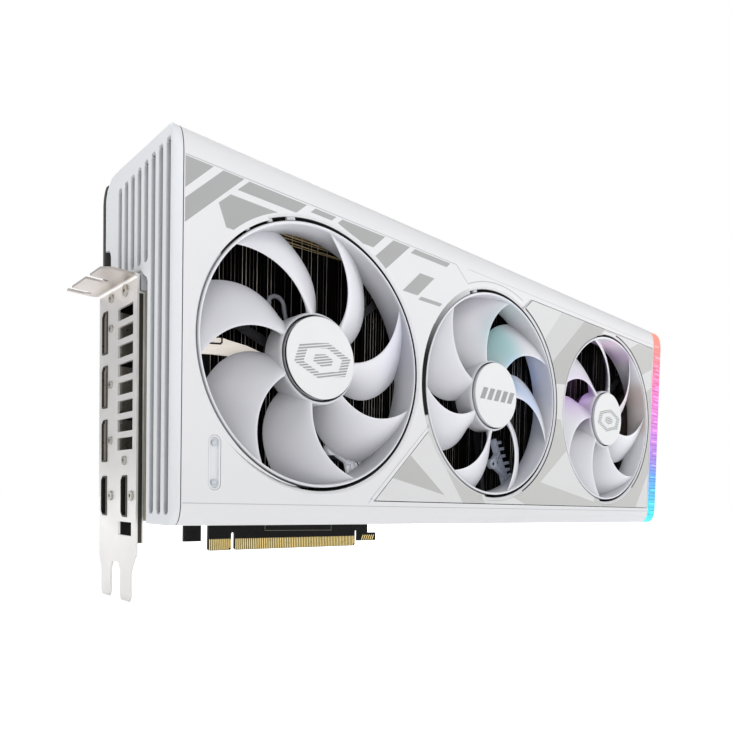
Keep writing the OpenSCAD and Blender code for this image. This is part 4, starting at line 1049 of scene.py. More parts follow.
def emblem(n):
    """Generic hatched mark: a hexagon ring on the outer fans, slanted bars on the middle one."""
    cx, cz = FANS[n - 1]
    stripes = []
    if n == 2:
        zones = [[(cx - 10.5 + 5.4 * k, cz + 3.0), (cx - 6.9 + 5.4 * k, cz + 3.0), (cx - 9.6 + 5.4 * k, cz - 3.0), (cx - 13.2 + 5.4 * k, cz - 3.0)] for k in range(5)]
        v, t, cls = region(zones, lambda c: 0 if any(inside(c, z) for z in zones) else None)
    else:
        def hexa(r, rot=0.35):
            return [(cx + 0.6 + 1.5 * r * math.cos(rot + math.pi / 3 * i), cz - 0.8 + 0.78 * r * math.sin(rot + math.pi / 3 * i)) for i in range(6)]
        outer, inner, core = hexa(9.6), hexa(6.6), hexa(3.4)
        for k in range(-16, 17):
            o = k * 1.1
            stripes.append([(cx - 16, cz + o - 4.0), (cx + 16, cz + o + 4.0), (cx + 16, cz + o + 4.66), (cx - 16, cz + o - 3.34)])

        def pick(c):
            if not any(inside(c, s) for s in stripes):
                return None
            if inside(c, outer) and not inside(c, inner):
                return 0
            return 0 if inside(c, core) else None
        v, t, cls = region([outer, inner, core] + stripes, pick)
    plate(f"fan{n}_cap_mark", v, t, cls, CAP_Y - 0.02, 0.12, M["print_dark"], body=f"fan{n}_rotor_body", sharp=40, weighted=False)


# ------------------------------------------------------------------ cooler fins
def fins():
    y0 = -44.0
    parts_v, parts_f, parts_m = [], [], []
    spans = [(24.0, 95.6, -11.2), (97.2, 176.6, -19.6), (178.4, 262.4, -11.2), (266.6, 336.8, 2.6)]
    th = 0.26
    for a, b, yb in spans:
        n = int((b - a) / 1.6)
        for i in range(n + 1):
            x = a + i * 1.6
            if x > b:
                break
            # each fin's front edge gets one of three painted tones at random: a painted highlight, a half-lit grey or
            # painted shade
            h = math.sin(x * 12.9898) * 43758.5453
            h -= math.floor(h)
            shade = 1 if h < 0.24 else (2 if h < 0.60 else 3)
            out = [(y0 + 5, 18.7), (y0, 24.0)]
            out += [(y0, 139.0), (y0 + 5, 144.9), (yb, 144.9), (yb, 18.7)]
            k = len(out)
            base = len(parts_v)
            parts_v += [(x, y, zz) for y, zz in out] + [(x + th, y, zz) for y, zz in out]
            parts_f.append([base + q for q in range(k)])
            parts_m.append(0)
            parts_f.append([base + k + q for q in reversed(range(k))])
            parts_m.append(0)
            for q in range(k):
                w = (q + 1) % k
                parts_f.append([base + q, base + k + q, base + k + w, base + w])
                front = out[q][0] < y0 + 5.1 and out[w][0] < y0 + 5.1
                parts_m.append(shade if front else 0)
    return build("fin_stack", parts_v, parts_f, [M["fin"], M["fin_edge"], M["fin_mid"], M["fin_dim"]], parts_m, smooth=False, weighted=False, merge=False, recalc=True,
                 stands_for=("heatsink_fins",))


# ------------------------------------------------------------------ light bar
def light_bar():
    xa, xb = BAR_X, END_X
    yb = -40.0
    rc = 6.6
    inset = 0.25

    def yf(z):
        if z > Z_HI:
            u = (z - Z_HI) / BAND_T
            return FRONT + FALL - FALL * math.sqrt(max(0.0, 1 - u * u))
        if z < Z_LO:
            u = (Z_LO - z) / BAND_B
            return FRONT + FALL - FALL * math.sqrt(max(0.0, 1 - u * u))
        return FRONT

    zs = [Z_LO - BAND_B * math.cos(math.pi / 2 * i / 12) for i in range(12)] + [Z_LO + (Z_HI - Z_LO) * i / 40 for i in range(41)] \
        + [Z_HI + BAND_T * math.sin(math.pi / 2 * (i + 1) / 12) for i in range(12)]
    cols = None
    verts, faces = [], []
    for z in zs:
        f = yf(z) + inset
        c = [(xa, f + 1.0), (xa, f + 0.25), (xa + 0.25, f)] + [(xa + 3, f), (xb - inset - rc, f)]
        c += [(xb - inset - rc + rc * math.sin(math.pi / 2 * i / 10), f + rc - rc * math.cos(math.pi / 2 * i / 10)) for i in range(1, 11)]
        c += [(xb - inset, -50.0), (xb - inset, yb)]
        cols = len(c)
        verts += [(x, y, z) for x, y in c]
    n = len(zs)
    for i in range(n - 1):
        for j in range(cols - 1):
            faces.append([i * cols + j, i * cols + j + 1, (i + 1) * cols + j + 1, (i + 1) * cols + j])
    # inner corner closes the solid
    k = len(verts)
    for z in zs:
        verts.append((xa, yb, z))
    for i in range(n - 1):
        faces.append([i * cols + cols - 1, k + i, k + i + 1, (i + 1) * cols + cols - 1])
        faces.append([k + i, i * cols, (i + 1) * cols, k + i + 1])
    faces.append([j for j in reversed(range(cols))] + [k])
    faces.append([(n - 1) * cols + j for j in range(cols)] + [k + n - 1])
    build("light_bar_shell", verts, faces, M["glow"], sharp=35, stands_for=("light_bar_lens",))

    # short raised marks across the bar
    marks = []
    zlist = [(138.5, 0, 1), (131.0, 1, 2), (125.2, 0, 1), (122.5, 2, 2), (119.4, 1, 1), (115.6, 0, 2), (110.4, 2, 1), (108.6, 1, 1), (103.2, 0, 2), (101.0, 2, 1),
             (97.7, 1, 2), (91.6, 0, 1), (86.0, 2, 2), (79.5, 1, 1), (71.8, 0, 2), (63.6, 2, 1), (54.8, 1, 2), (46.4, 0, 2), (37.4, 1, 2), (27.6, 0, 2), (21.0, 1, 1)]
    v, f = [], []
    for z, a, w in zlist:
        x0 = xa + 2.0 + a * 1.6
        x1 = x0 + 4.2 + w * 2.2
        h = 0.42
        pts = []
        m = 8
        for i in range(m + 1):
            x = x0 + (x1 - x0) * i / m
            lim = xb - inset - rc
            y = FRONT + inset if x <= lim else FRONT + inset + rc - math.sqrt(max(0.0, rc * rc - (x - lim) ** 2))
            pts.append((x, y))
        base = len(v)
        for x, y in pts:
            v += [(x, y - 0.2, z - h), (x, y - 0.2, z + h), (x, y + 0.3, z + h), (x, y + 0.3, z - h)]
        for i in range(m):
            q = base + i * 4
            for s in range(4):
                u = (s + 1) % 4
                f.append([q + s, q + u, q + 4 + u, q + 4 + s])
        f.append([base + s for s in reversed(range(4))])
        f.append([base + m * 4 + s for s in range(4)])
    build("light_bar_marks", v, f, M["glow_hi"], sharp=35, merge=False)

    # finer ribs between the marks, each dimmer than the bar behind it
    v, f = [], []
    z, k = 20.2, 0
    while z < 140.0:
        x0 = xa + (1.0, 3.4, 1.8, 4.4, 0.8)[k % 5]
        x1 = xb - inset - (1.2, 2.6, 0.9, 3.2)[k % 4]
        h = (0.30, 0.42, 0.26)[k % 3]
        lim = xb - inset - rc
        pts = []
        for i in range(13):
            x = x0 + (x1 - x0) * i / 12
            y = FRONT + inset if x <= lim else FRONT + inset + rc - math.sqrt(max(0.0, rc * rc - (x - lim) ** 2))
            pts.append((x, y))
        base = len(v)
        for x, y in pts:
            v += [(x, y - 0.1, z - h), (x, y - 0.1, z + h), (x, y + 0.3, z + h), (x, y + 0.3, z - h)]
        for i in range(12):
            q = base + i * 4
            for s_ in range(4):
                u = (s_ + 1) % 4
                f.append([q + s_, q + u, q + 4 + u, q + 4 + s_])
        f.append([base + s_ for s_ in reversed(range(4))])
        f.append([base + 48 + s_ for s_ in range(4)])
        z += (2.6, 2.2, 3.1, 2.4)[k % 4]
        k += 1
    build("light_bar_ribs", v, f, M["glow_lo"], sharp=35, merge=False)


def sector(cx, cz, r0, r1, a0, a1, y0, y1, n=40, r1_end=None, y_out=None):
    """A closed piece of a ring between two radii and two angles in degrees; it may taper and may slope."""
    verts, faces = [], []
    dy = 0.0 if y_out is None else y_out - y0
    for i in range(n + 1):
        a = math.radians(a0 + (a1 - a0) * i / n)
        c, s_ = math.cos(a), math.sin(a)
        ri = r0(math.degrees(a)) if callable(r0) else r0
        if callable(r1):
            ro = r1(math.degrees(a))
        else:
            ro = r1 if r1_end is None else r1_end + (r1 - r1_end) * i / n
        verts += [(cx + ri * c, y0, cz + ri * s_), (cx + ro * c, y0 + dy, cz + ro * s_), (cx + ro * c, y1 + dy, cz + ro * s_), (cx + ri * c, y1, cz + ri * s_)]
    for i in range(n):
        q = i * 4
        for k in range(4):
            w = (k + 1) % 4
            faces.append([q + k, q + w, q + 4 + w, q + 4 + k])
    faces.append([3, 2, 1, 0])
    faces.append([n * 4 + k for k in range(4)])
    return verts, faces


def opening_trims():
    """Flush lip that narrows the gap on the left of each opening, small bridges across it, and the middle opening's
    painted shadow band.
    """
    flush = {1: (118, 258), 2: (197.5, 262), 3: None}
    inner = {1: [(146, 260), (128, 129.6), (116, 118), (104.5, 108.5)], 2: [(197.5, 264), (109, 112)], 3: [(108, 258)]}

    def fade(d, end, full, thin):
        """Full size up to 36 degrees before the end, then a taper that starts quickly."""
        return full + (thin - full) * min(1.0, max(0.0, (d - end + 36.0) / 36.0)) ** 0.6

    for n in (1, 2, 3):
        cx, cz = FANS[n - 1]
        parts = []
        for a0, a1 in inner[n]:
            r0 = 51.78 if a1 < 200 else (lambda d, e=a1: fade(d, e, 51.78, R_OPEN - 0.04))
            v, f = sector(cx, cz, r0, R_OPEN + 0.1, a0, a1, FRONT + 0.75, FRONT + 2.0, max(6, int((a1 - a0) / 2)))
            parts.append((v, f, 0))
        v, f, m = join(*parts)
        build(f"opening{n}_ledge", v, f, M["ledge"], sharp=35, merge=False)
        if flush[n]:
            v, f = sector(cx, cz, 52.35, lambda d, e=flush[n][1]: fade(d, e, R_CHAM + 0.12, 52.5), flush[n][0], flush[n][1], FRONT - 0.015, FRONT + 1.4, 72)
            build(f"opening{n}_lip", v, f, M["shell"] if n == 1 else M["acc1"], sharp=35, merge=False)
    # painted shade: a fine dark line round the outside of the bevel on the far side
    for n, a0, a1 in ((2, -64, 66), (3, -52, 84)):
        cx, cz = FANS[n - 1]
        v, f = sector(cx, cz, R_CHAM - 0.34, R_CHAM + 0.36, a0, a1, FRONT - 0.012, FRONT + 0.5, 90)
        build(f"opening{n}_shade_line", v, f, M["edge"], sharp=35, merge=False)
    # painted shade: a dark inner part of the bevel, where the gap beside the rim looks widest
    for n, a0, a1, w in ((1, -84, 80, 0.62), (2, -88, 98, 0.36), (3, -96, 100, 0.36)):
        cx, cz = FANS[n - 1]
        v, f = sector(cx, cz, R_OPEN - 0.03, R_OPEN + w, a0, a1, FRONT + 1.16, FRONT + 1.32, 90, None, FRONT + 0.97 - 0.81 * (w - 0.18))
        build(f"opening{n}_inner_shade", v, f, M["gap"], sharp=35, merge=False)
    # painted shadow band on the ring beside the middle opening's left edge
    cx, cz = FANS[1]
    parts = []
    for a0, a1, ra, rb in ((150, 197, R_CHAM + 0.05, R_CHAM + 0.0), (116, 150, R_CHAM - 0.55, R_CHAM - 0.0)):
        v, f = sector(cx, cz, 51.8, ra, a0, a1, FRONT - 0.015, FRONT + 1.6, 36, rb)
        parts.append((v, f, 0))
    v, f, m = join(*parts)
    build("opening2_shadow_band", v, f, M["band"], sharp=35, merge=False)


def bar_along(x0, z0, x1, z1, w0, w1, y0, y1, rib=0, rh=0.5):
    """A tapered strut between two points with raised edges and cross ribs."""
    d = Vector((x1 - x0, z1 - z0))
    L = d.length
    d.normalize()
    nn = Vector((-d.y, d.x))
    parts = []

    def quad(a, b, wa, wb, ya, yb, off=0.0):
        pts = []
        for t, w in ((a, wa), (b, wb)):
            for sgn in (1, -1):
                p = Vector((x0, z0)) + d * t + nn * (off + sgn * w / 2)
                pts.append((p.x, p.y))
        a1, a2, b1, b2 = pts
        v = [(p[0], ya, p[1]) for p in (a1, a2, b2, b1)] + [(p[0], yb, p[1]) for p in (a1, a2, b2, b1)]
        f = [[0, 1, 2, 3], [7, 6, 5, 4], [0, 4, 5, 1], [1, 5, 6, 2], [2, 6, 7, 3], [3, 7, 4, 0]]
        parts.append((v, f, 0))
    quad(0, L, w0, w1, y0, y1)
    for sgn in (1, -1):
        quad(0, L, 0.5, 0.5, y0 - rh, y0 + 0.1, sgn * (min(w0, w1) / 2 - 0.3))
    for i in range(rib):
        t = L * (i + 0.7) / (rib + 0.4)
        quad(t, t + 0.7, min(w0, w1) * 0.9, min(w0, w1) * 0.9, y0 - rh, y0 + 0.1)
    return parts


def motor_frames():
    ya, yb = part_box("fan_motor_bases")[1].y / MM - 2.7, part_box("fan_motor_bases")[1].y / MM
    for n, (cx, cz) in enumerate(FANS, 1):
        dark, light = [], []
        v, f = revolve(cx, cz, [(3.05, ya), (15.6, ya), (16.2, ya + 0.25), (16.5, ya + 0.7), (16.5, yb), (3.05, yb)], 72)
        dark.append((v, f, 0))
        v, f = revolve(cx, cz, [(3.05, -57.0), (4.1, -57.0), (4.4, -56.7), (4.4, ya + 0.4), (3.05, ya + 0.4)], 40)
        dark.append((v, f, 0))
        for a in (40, 160, 280):
            ra = math.radians(a)
            for b in bar_along(cx + 14.5 * math.cos(ra), cz + 14.5 * math.sin(ra), cx + 57.2 * math.cos(ra), cz + 57.2 * math.sin(ra), 3.4, 3.0, ya + 0.75, yb, rib=2, rh=0.3):
                dark.append(b)
            v, f = revolve(cx + 57.2 * math.cos(ra), cz + 57.2 * math.sin(ra), [(1.15, ya), (2.6, ya), (3.0, ya + 0.35), (3.0, yb), (1.15, yb)], 32)
            dark.append((v, f, 0))
        # cable guide beside the lower arm: a comb-edged strut with a screw boss and a fanned end
        for b in bar_along(cx + 17.2, cz - 20.6, cx + 26.6, cz - 38.5, 3.0, 4.6, ya + 0.7, yb, rib=3, rh=0.4):
            light.append(b)
        for b in bar_along(cx + 26.2, cz - 37.5, cx + 31.5, cz - 47.8, 4.6, 6.6, ya + 0.9, yb, rib=4, rh=0.4):
            light.append(b)
        bx, bz = cx + 16.9, cz - 34.0
        v, f = revolve(bx, bz, [(0.9, ya + 0.9), (0.9, ya + 0.5), (1.25, ya + 0.4), (1.5, ya + 0.1), (2.45, ya + 0.1), (2.8, ya + 0.4), (2.8, yb), (0.9, yb)], 36)
        light.append((v, f, 0))
        v, f = revolve(bx, bz, [(0.05, ya + 0.7), (1.2, ya + 0.7), (1.2, ya + 1.3), (0.05, ya + 1.3)], 20)
        dark.append((v, f, 0))
        for b in bar_along(bx + 0.5, bz + 1.0, cx + 22.0, cz - 27.5, 3.6, 3.2, ya + 0.8, yb - 0.2, rib=1):
            light.append(b)
        for b in bar_along(bx + 1.5, bz - 0.5, cx + 26.5, cz - 39.0, 3.4, 3.0, ya + 0.8, yb - 0.2):
            light.append(b)
        for k, (dx, dz, L) in enumerate([(20.6, -22.4, 2.6), (22.4, -25.8, 3.2), (24.6, -29.6, 2.6), (27.0, -33.4, 3.4), (28.8, -37.0, 2.6)]):
            for b in bar_along(cx + dx - 1.0, cz + dz, cx + dx + L, cz + dz + 0.9, 1.5, 1.5, ya + 0.62, yb - 0.4):
                light.append(b)
        for k in range(4):
            for b in bar_along(cx + 24.8 + 2.4 * k, cz - 41.2 + 0.9 * k, cx + 27.0 + 2.9 * k, cz - 48.6 + 1.5 * k, 1.1, 1.2, ya + 0.60, ya + 1.5):
                light.append(b)
        v, f, m = join(*dark)
        o = build(f"motor_frame{n}", v, f, M["motor"], sharp=35, merge=False, stands_for=("fan_motor_bases",) if n == 1 else ())
        v, f, m = join(*light)
        build(f"motor_strut{n}", v, f, M["guide1"] if n == 1 else M["guide2"], sharp=35, merge=False)


def tube(path, r, n=10):
    """A round cable through the points, closed at both ends."""
    pts = [Vector(p) for p in path]
    # smooth the path
    fine = []
    for i in range(len(pts) - 1):
        p0, p1, p2, p3 = pts[max(0, i - 1)], pts[i], pts[i + 1], pts[min(len(pts) - 1, i + 2)]
        for k in range(8):
            t = k / 8
            fine.append(0.5 * ((2 * p1) + (p2 - p0) * t + (2 * p0 - 5 * p1 + 4 * p2 - p3) * t * t + (3 * p1 - p0 - 3 * p2 + p3) * t ** 3))
    fine.append(pts[-1])
    verts, faces = [], []
    up = Vector((0.3, 1, 0.2)).normalized()
    for i, p in enumerate(fine):
        d = (fine[min(i + 1, len(fine) - 1)] - fine[max(i - 1, 0)]).normalized()
        a = d.cross(up)
        a = a.normalized() if a.length > 1e-4 else d.orthogonal().normalized()
        b = d.cross(a).normalized()
        for k in range(n):
            q = p + (a * math.cos(2 * math.pi * k / n) + b * math.sin(2 * math.pi * k / n)) * r
            verts.append((q.x, q.y, q.z))
    for i in range(len(fine) - 1):
        for k in range(n):
            w = (k + 1) % n
            faces.append([i * n + k, i * n + w, (i + 1) * n + w, (i + 1) * n + k])
    faces.append([k for k in reversed(range(n))])
    faces.append([(len(fine) - 1) * n + k for k in range(n)])
    return verts, faces


def leads():
    """Three thin wires from each motor along the lower strut to its header on the board."""
    parts = []
    hx = {1: 94.4, 2: 180.0, 3: 261.7}
    for n, (cx, cz) in enumerate(FANS, 1):
        s_ = 1 if hx[n] > cx else -1
        for k in range(3):
            o = (k - 1) * 0.95
            path = [(cx + s_ * 6 + o, -45.9, cz - 13), (cx + s_ * 8.5 + o, -45.8, cz - 24), (cx + s_ * 11 + o, -45.7, cz - 34), (cx + (hx[n] - cx) * 0.75 + o, -45.7, 41.5),
                    (hx[n] + o, -44.8, 37.0), (hx[n] + o, -39, 34.6), (hx[n] + o, -20, 34.0), (hx[n] + o, -6.6, 34.0)]
            parts.append(tube(path, 0.36) + (0,))
    v, f, m = join(*parts)
    build("motor_leads", v, f, M["wire"], sharp=60, merge=False, stands_for=("fan_cables",))


def end_wall():
    """Ribbed wall between the fin stack and the light bar."""
    xa = 338.9
    ys = [-62.0]
    while ys[-1] < -36.5:
        ys += [ys[-1] + 1.6, ys[-1] + 1.9, ys[-1] + 2.3, ys[-1] + 2.6]
    prof = []
    for i, y in enumerate(ys):
        prof.append((xa + (0.0 if i % 4 in (0, 1) else 0.35), y))
    prof += [(xa + 1.5, ys[-1]), (xa + 1.5, ys[0])]
    verts, faces = [], []
    zs = [17.5, 60.0, 100.0, 146.6]
    k = len(prof)
    for z in zs:
        verts += [(x, y, z) for x, y in prof]
    for i in range(len(zs) - 1):
        for q in range(k):
            w = (q + 1) % k
            faces.append([i * k + q, i * k + w, (i + 1) * k + w, (i + 1) * k + q])
    faces.append([q for q in reversed(range(k))])
    faces.append([(len(zs) - 1) * k + q for q in range(k)])
    build("fin_end_wall", verts, faces, M["wallbrown"], sharp=35, merge=False)


def back_trim():
    """Dark rounded edge down the bracket end, between the end frame and the back plate."""
    prof = [(1.34, 0.95), (1.30, 2.2), (1.32, 3.3), (1.7, 4.15), (2.4, 4.95), (3.5, 5.4), (4.4, 5.4), (4.4, 0.95)]
    secs = [(111.0, 0.0), (128.0, 0.0), (140.5, 0.0), (142.6, -0.35), (144.4, -1.1), (145.8, -2.1), (146.7, -3.3)]
    verts, faces = [], []
    k = len(prof)
    for z, d in secs:
        verts += [(x, y + d, z) for x, y in prof]
    for i in range(len(secs) - 1):
        for q in range(k):
            w = (q + 1) % k
            faces.append([i * k + q, i * k + w, (i + 1) * k + w, (i + 1) * k + q])
    faces.append([q for q in reversed(range(k))])
    faces.append([(len(secs) - 1) * k + q for q in range(k)])
    build("back_edge_trim", verts, faces, M["dusk"], sharp=50, merge=False)


def back_prints():
    """Pale slanted bars and thin outlines printed on the back plate."""
    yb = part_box("backplate")[1].y / MM
    def bar(x, z0, z1, w, lean=0.24):
        return [(x, z0), (x + w, z0), (x + w + (z1 - z0) * lean * -1, z1), (x + (z1 - z0) * lean * -1, z1)]
    solid = [bar(231.0, 96.0, 126.0, 9.0), bar(219.0, 96.0, 126.0, 4.0), bar(212.0, 96.0, 126.0, 1.6),
             [(64.0, 22.0), (118.0, 22.0), (113.5, 27.0), (68.0, 27.0)], [(30.0, 22.0), (58.0, 22.0), (62.0, 27.0), (34.5, 27.0)],
             [(146.0, 132.0), (206.0, 132.0), (202.0, 137.5), (150.0, 137.5)], [(214.0, 132.0), (262.0, 132.0), (258.0, 137.5), (210.0, 137.5)]]
    thin = [strip((182.0, 30.0), (205.0, 60.0), 0.5), strip((205.0, 60.0), (205.0, 88.0), 0.5), strip((205.0, 88.0), (196.0, 100.0), 0.5),
            strip((188.0, 30.0), (211.0, 60.0), 0.5), strip((211.0, 60.0), (211.0, 90.0), 0.5),
            strip((24.0, 60.0), (52.0, 60.0), 0.5), strip((52.0, 60.0), (66.0, 42.0), 0.5), strip((66.0, 42.0), (96.0, 42.0), 0.5),
            strip((24.0, 66.0), (55.0, 66.0), 0.5), strip((55.0, 66.0), (70.0, 47.0), 0.5), strip((70.0, 47.0), (92.0, 47.0), 0.5)]
    polys = solid + thin
    v, t, cls = region(polys, lambda c: 0 if any(inside(c, q) for q in solid) else (1 if any(inside(c, q) for q in thin) else None))
    plate("back_print", v, t, cls, yb - 0.10, 0.115, [M["print"], M["print_dark"]], sharp=40)


def side_plate():
    """Pale stamped plate seen behind the first fan, with a raised hook outline."""
    shape = [(16.0, 83.6), (28.6, 85.2), (30.0, 84.9), (38.0, 84.2), (46.0, 82.4), (46.0, 79.2), (33.0, 79.0), (24.0, 78.4), (16.0, 77.4)]
    slot_o = [(21.2, 86.0), (21.2, 82.6), (22.0, 81.8), (27.2, 82.5), (28.0, 83.3), (28.0, 86.2)]
    slot_i = [(21.9, 86.0), (21.9, 83.0), (22.3, 82.6), (26.9, 83.2), (27.3, 83.6), (27.3, 86.2)]
    v, t, cls = region([shape, slot_o, slot_i], lambda c: None if not inside(c, shape) else (1 if inside(c, slot_o) and not inside(c, slot_i) else 0))
    plate("fin_side_plate", v, t, cls, -46.1, 1.2, [M["cream"], M["black"]], sharp=40, bevel=0.12)
    # rounded grey cable hook higher up
    pts = []
    for i in range(17):
        a = math.radians(205 - 195 * i / 16)
        pts.append((50.2 + 3.6 * math.cos(a), -47.2, 102.4 + 3.6 * math.sin(a)))
    pts += [(54.5, -47.1, 99.4), (56.1, -47.0, 94.8), (58.2, -46.8, 90.0), (60.2, -46.6, 86.0)]
    v, f = tube(pts, 0.9, 12)
    build("cable_hook", v, f, M["arm"], sharp=60, merge=False)
    # painted highlights: thin warm tubes that stand in for glints across the top of the fins
    parts = []
    for k, (za, zb, r) in enumerate([(133.4, 134.6, 0.22), (132.7, 133.2, 0.3), (131.4, 132.6, 0.16), (130.2, 130.9, 0.2), (129.0, 130.6, 0.14)]):
        parts.append(tube([(52.0, -44.6, za), (66.0, -44.6, za * 0.6 + zb * 0.4), (78.0, -44.6, za * 0.3 + zb * 0.7), (90.0, -44.6, zb)], r, 8) + (0,))
    v, f, m = join(*parts)
    build("fin_top_glints", v, f, M["tube"], sharp=60, merge=False)


def bracket_parts():
    y0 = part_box("io_bracket")[0].y / MM
    # painted shade: a dark strip along the return, and the frame's edge beside it painted a shaded warm grey
    prof = [(0.75, y0 - 0.02), (0.9, y0 - 0.14), (2.05, y0 - 0.14), (2.2, y0 - 0.02), (2.2, y0 + 0.2), (0.75, y0 + 0.2)]

    def run(prof, z0, z1, nz=1):
        verts, faces = [], []
        k = len(prof)
        for i in range(nz + 1):
            z = z0 + (z1 - z0) * i / nz
            verts += [(x, y, z) for x, y in prof]
        for i in range(nz):
            for q in range(k):
                w = (q + 1) % k
                faces.append([i * k + q, i * k + w, (i + 1) * k + w, (i + 1) * k + q])
        faces.append([q for q in reversed(range(k))])
        faces.append([nz * k + q for q in range(k)])
        return verts, faces
    v, f = run(prof, 6.9, 97.6, 3)
    build("return_shade_strip", v, f, M["dusk"], sharp=35, merge=False)
    v, f = run([(2.95, y0 + 0.1), (3.2, y0 - 0.2), (3.75, y0 - 0.2), (3.95, y0 + 0.1), (3.95, y0 + 3.2), (2.95, y0 + 3.2)], 15.0, 99.0, 3)
    v2, f2 = run([(1.6, y0 + 0.9), (1.8, y0 + 0.6), (3.7, y0 + 0.6), (3.95, y0 + 0.9), (3.95, y0 + 2.4), (1.6, y0 + 2.4)], 98.9, 105.4, 2)
    v, f, m = join((v, f, 0), (v2, f2, 1))
    build("frame_lip", v, f, [M["warm"], M["ledge"]], m, sharp=35, merge=False)


def contacts():
    """Contact fingers on both sides of the board edge, each with a rounded top and a tapered tip."""
    a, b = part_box("edge_contacts")
    ya, yb = a.y / MM, b.y / MM
    kx = 57.85
    xs = [kx - 1.5 - i for i in range(11)] + [kx + 1.5 + i for i in range(71)]
    parts = []
    for side in (0, 1):
        y0, y1 = (ya, ya + 0.05) if side == 0 else (yb - 0.05, yb)
        for i, x in enumerate(xs):
            zlo = 0.42 if not (i in (0, 81)) else 1.3
            w = 0.24
            out = [(x - w, zlo), (x - w * 0.7, zlo - 0.28), (x + w * 0.7, zlo - 0.28), (x + w, zlo), (x + w, 4.9), (x + w * 0.7, 5.2), (x, 5.32), (x - w * 0.7, 5.2), (x - w, 4.9)]
            k = len(out)
            v = [(p, y0, z) for p, z in out] + [(p, y1, z) for p, z in out]
            f = [[q for q in range(k)], [k + q for q in reversed(range(k))]] + [[q, k + q, k + (q + 1) % k, (q + 1) % k] for q in range(k)]
            parts.append((v, f, 0))
    v, f, m = join(*parts)
    build("contact_fingers", v, f, M["gold"], sharp=35, merge=False, weighted=False, stands_for=("edge_contacts",))


def board_ink():
    """Printed outline and small pads on the board below the shell."""
    polys = [strip((74.6, 15.0), (74.6, 8.9), 0.3), strip((74.45, 8.9), (114.1, 8.6), 0.3), strip((114.0, 8.5), (114.0, 15.0), 0.3), strip((93.8, 13.8), (94.6, 13.8), 0.5),
             strip((74.6, 14.3), (79.0, 14.3), 0.25), strip((109.6, 14.2), (114.0, 14.2), 0.25)]
    v, t, cls = region(polys, lambda c: 0 if any(inside(c, p) for p in polys) else None)
    plate("board_outline_ink", v, t, cls, -0.05, 0.1, M["trace"], sharp=40)
    # generic hatched patch on the small tab at the end of the board edge
    polys = [strip((134.6 + 1.5 * k, 2.9), (135.8 + 1.5 * k, 5.7), 0.5) for k in range(6)]
    v, t, cls = region(polys, lambda c: 0 if any(inside(c, p) for p in polys) else None)
    plate("board_tab_ink", v, t, cls, -0.05, 0.1, M["gold"], sharp=40)


opening_trims()
end_wall()
back_trim()
back_prints()
motor_frames()
leads()
side_plate()
bracket_parts()
contacts()
board_ink()
front_shell()
accent()
prints()
lines()
slot()
end_frame()
fan(1, 106.9, 1)
fan(2, 57.4, -1)
fan(3, 80.1, 1)
for _i in (1, 2, 3):
    cap(_i)
    emblem(_i)
fins()
light_bar()

# ------------------------------------------------------------------ CAD nodes that stay
FINISH = {
    "io_bracket": "steel", "bracket_screws": "screw", "pcb": "board", "edge_contacts": "gold", "video_port_shells": "nickel",
    "video_port_tongues": "black", "media_port_shells": "dark_steel", "media_port_tongues": "black", "mid_frame": "shell",
    "far_end_cover": "shell", "backplate": "backshell", "backplate_screws": "screw", "standoffs": "brass", "retention_plate": "dark_steel",
    "retention_screws": "screw", "heat_pipes": "nickel_pipe", "cold_plate": "copper", "thermal_pads": "pad", "gpu_substrate": "substrate",
    "gpu_die": "die", "memory_chips": "chip", "inductors": "ferrite", "power_stages": "chip", "capacitors": "alu", "power_socket": "black",
    "power_socket_pins": "gold", "switch_body": "black", "switch_knob": "cap", "fan_motor_bases": "motor", "fan_bearings": "brass",
    "stator_cores": "ferrite", "stator_coils": "copper", "fan_cables": "wire", "fan_headers": "connector", "fan_screws": "screw",
    "light_bar_board": "connector", "light_bar_leds": "led", "shroud_screws": "screw",
    "fan1_shaft": "alu", "fan2_shaft": "alu", "fan3_shaft": "alu", "fan1_magnet": "ferrite", "fan2_magnet": "ferrite", "fan3_magnet": "ferrite",
}
for name, o in NODES.items():
    key = FINISH.get(name, "shell")
    if not o.data.materials:
        o.data.materials.append(M[key])
    for s in o.material_slots:
        s.material = M[key]


def soften(name, width, angle=40.0, seg_=2):
    o = NODES[name]
    w = o.modifiers.new("join_faces", "WELD")
    w.merge_threshold = 2e-6
    d = o.modifiers.new("join_flats", "DECIMATE")
    d.decimate_type = "DISSOLVE"
    d.angle_limit = math.radians(0.4)
    b = o.modifiers.new("edge_round", "BEVEL")
    b.width = width * MM
    b.segments = seg_
    b.limit_method = "ANGLE"
    b.angle_limit = math.radians(angle)
    b.use_clamp_overlap = True
    n = o.modifiers.new("even_shading", "WEIGHTED_NORMAL")
    n.keep_sharp = False


for nm, wd in (("io_bracket", 0.12), ("backplate", 0.35), ("mid_frame", 0.4), ("far_end_cover", 0.35), ("power_socket", 0.25)):
    soften(nm, wd)


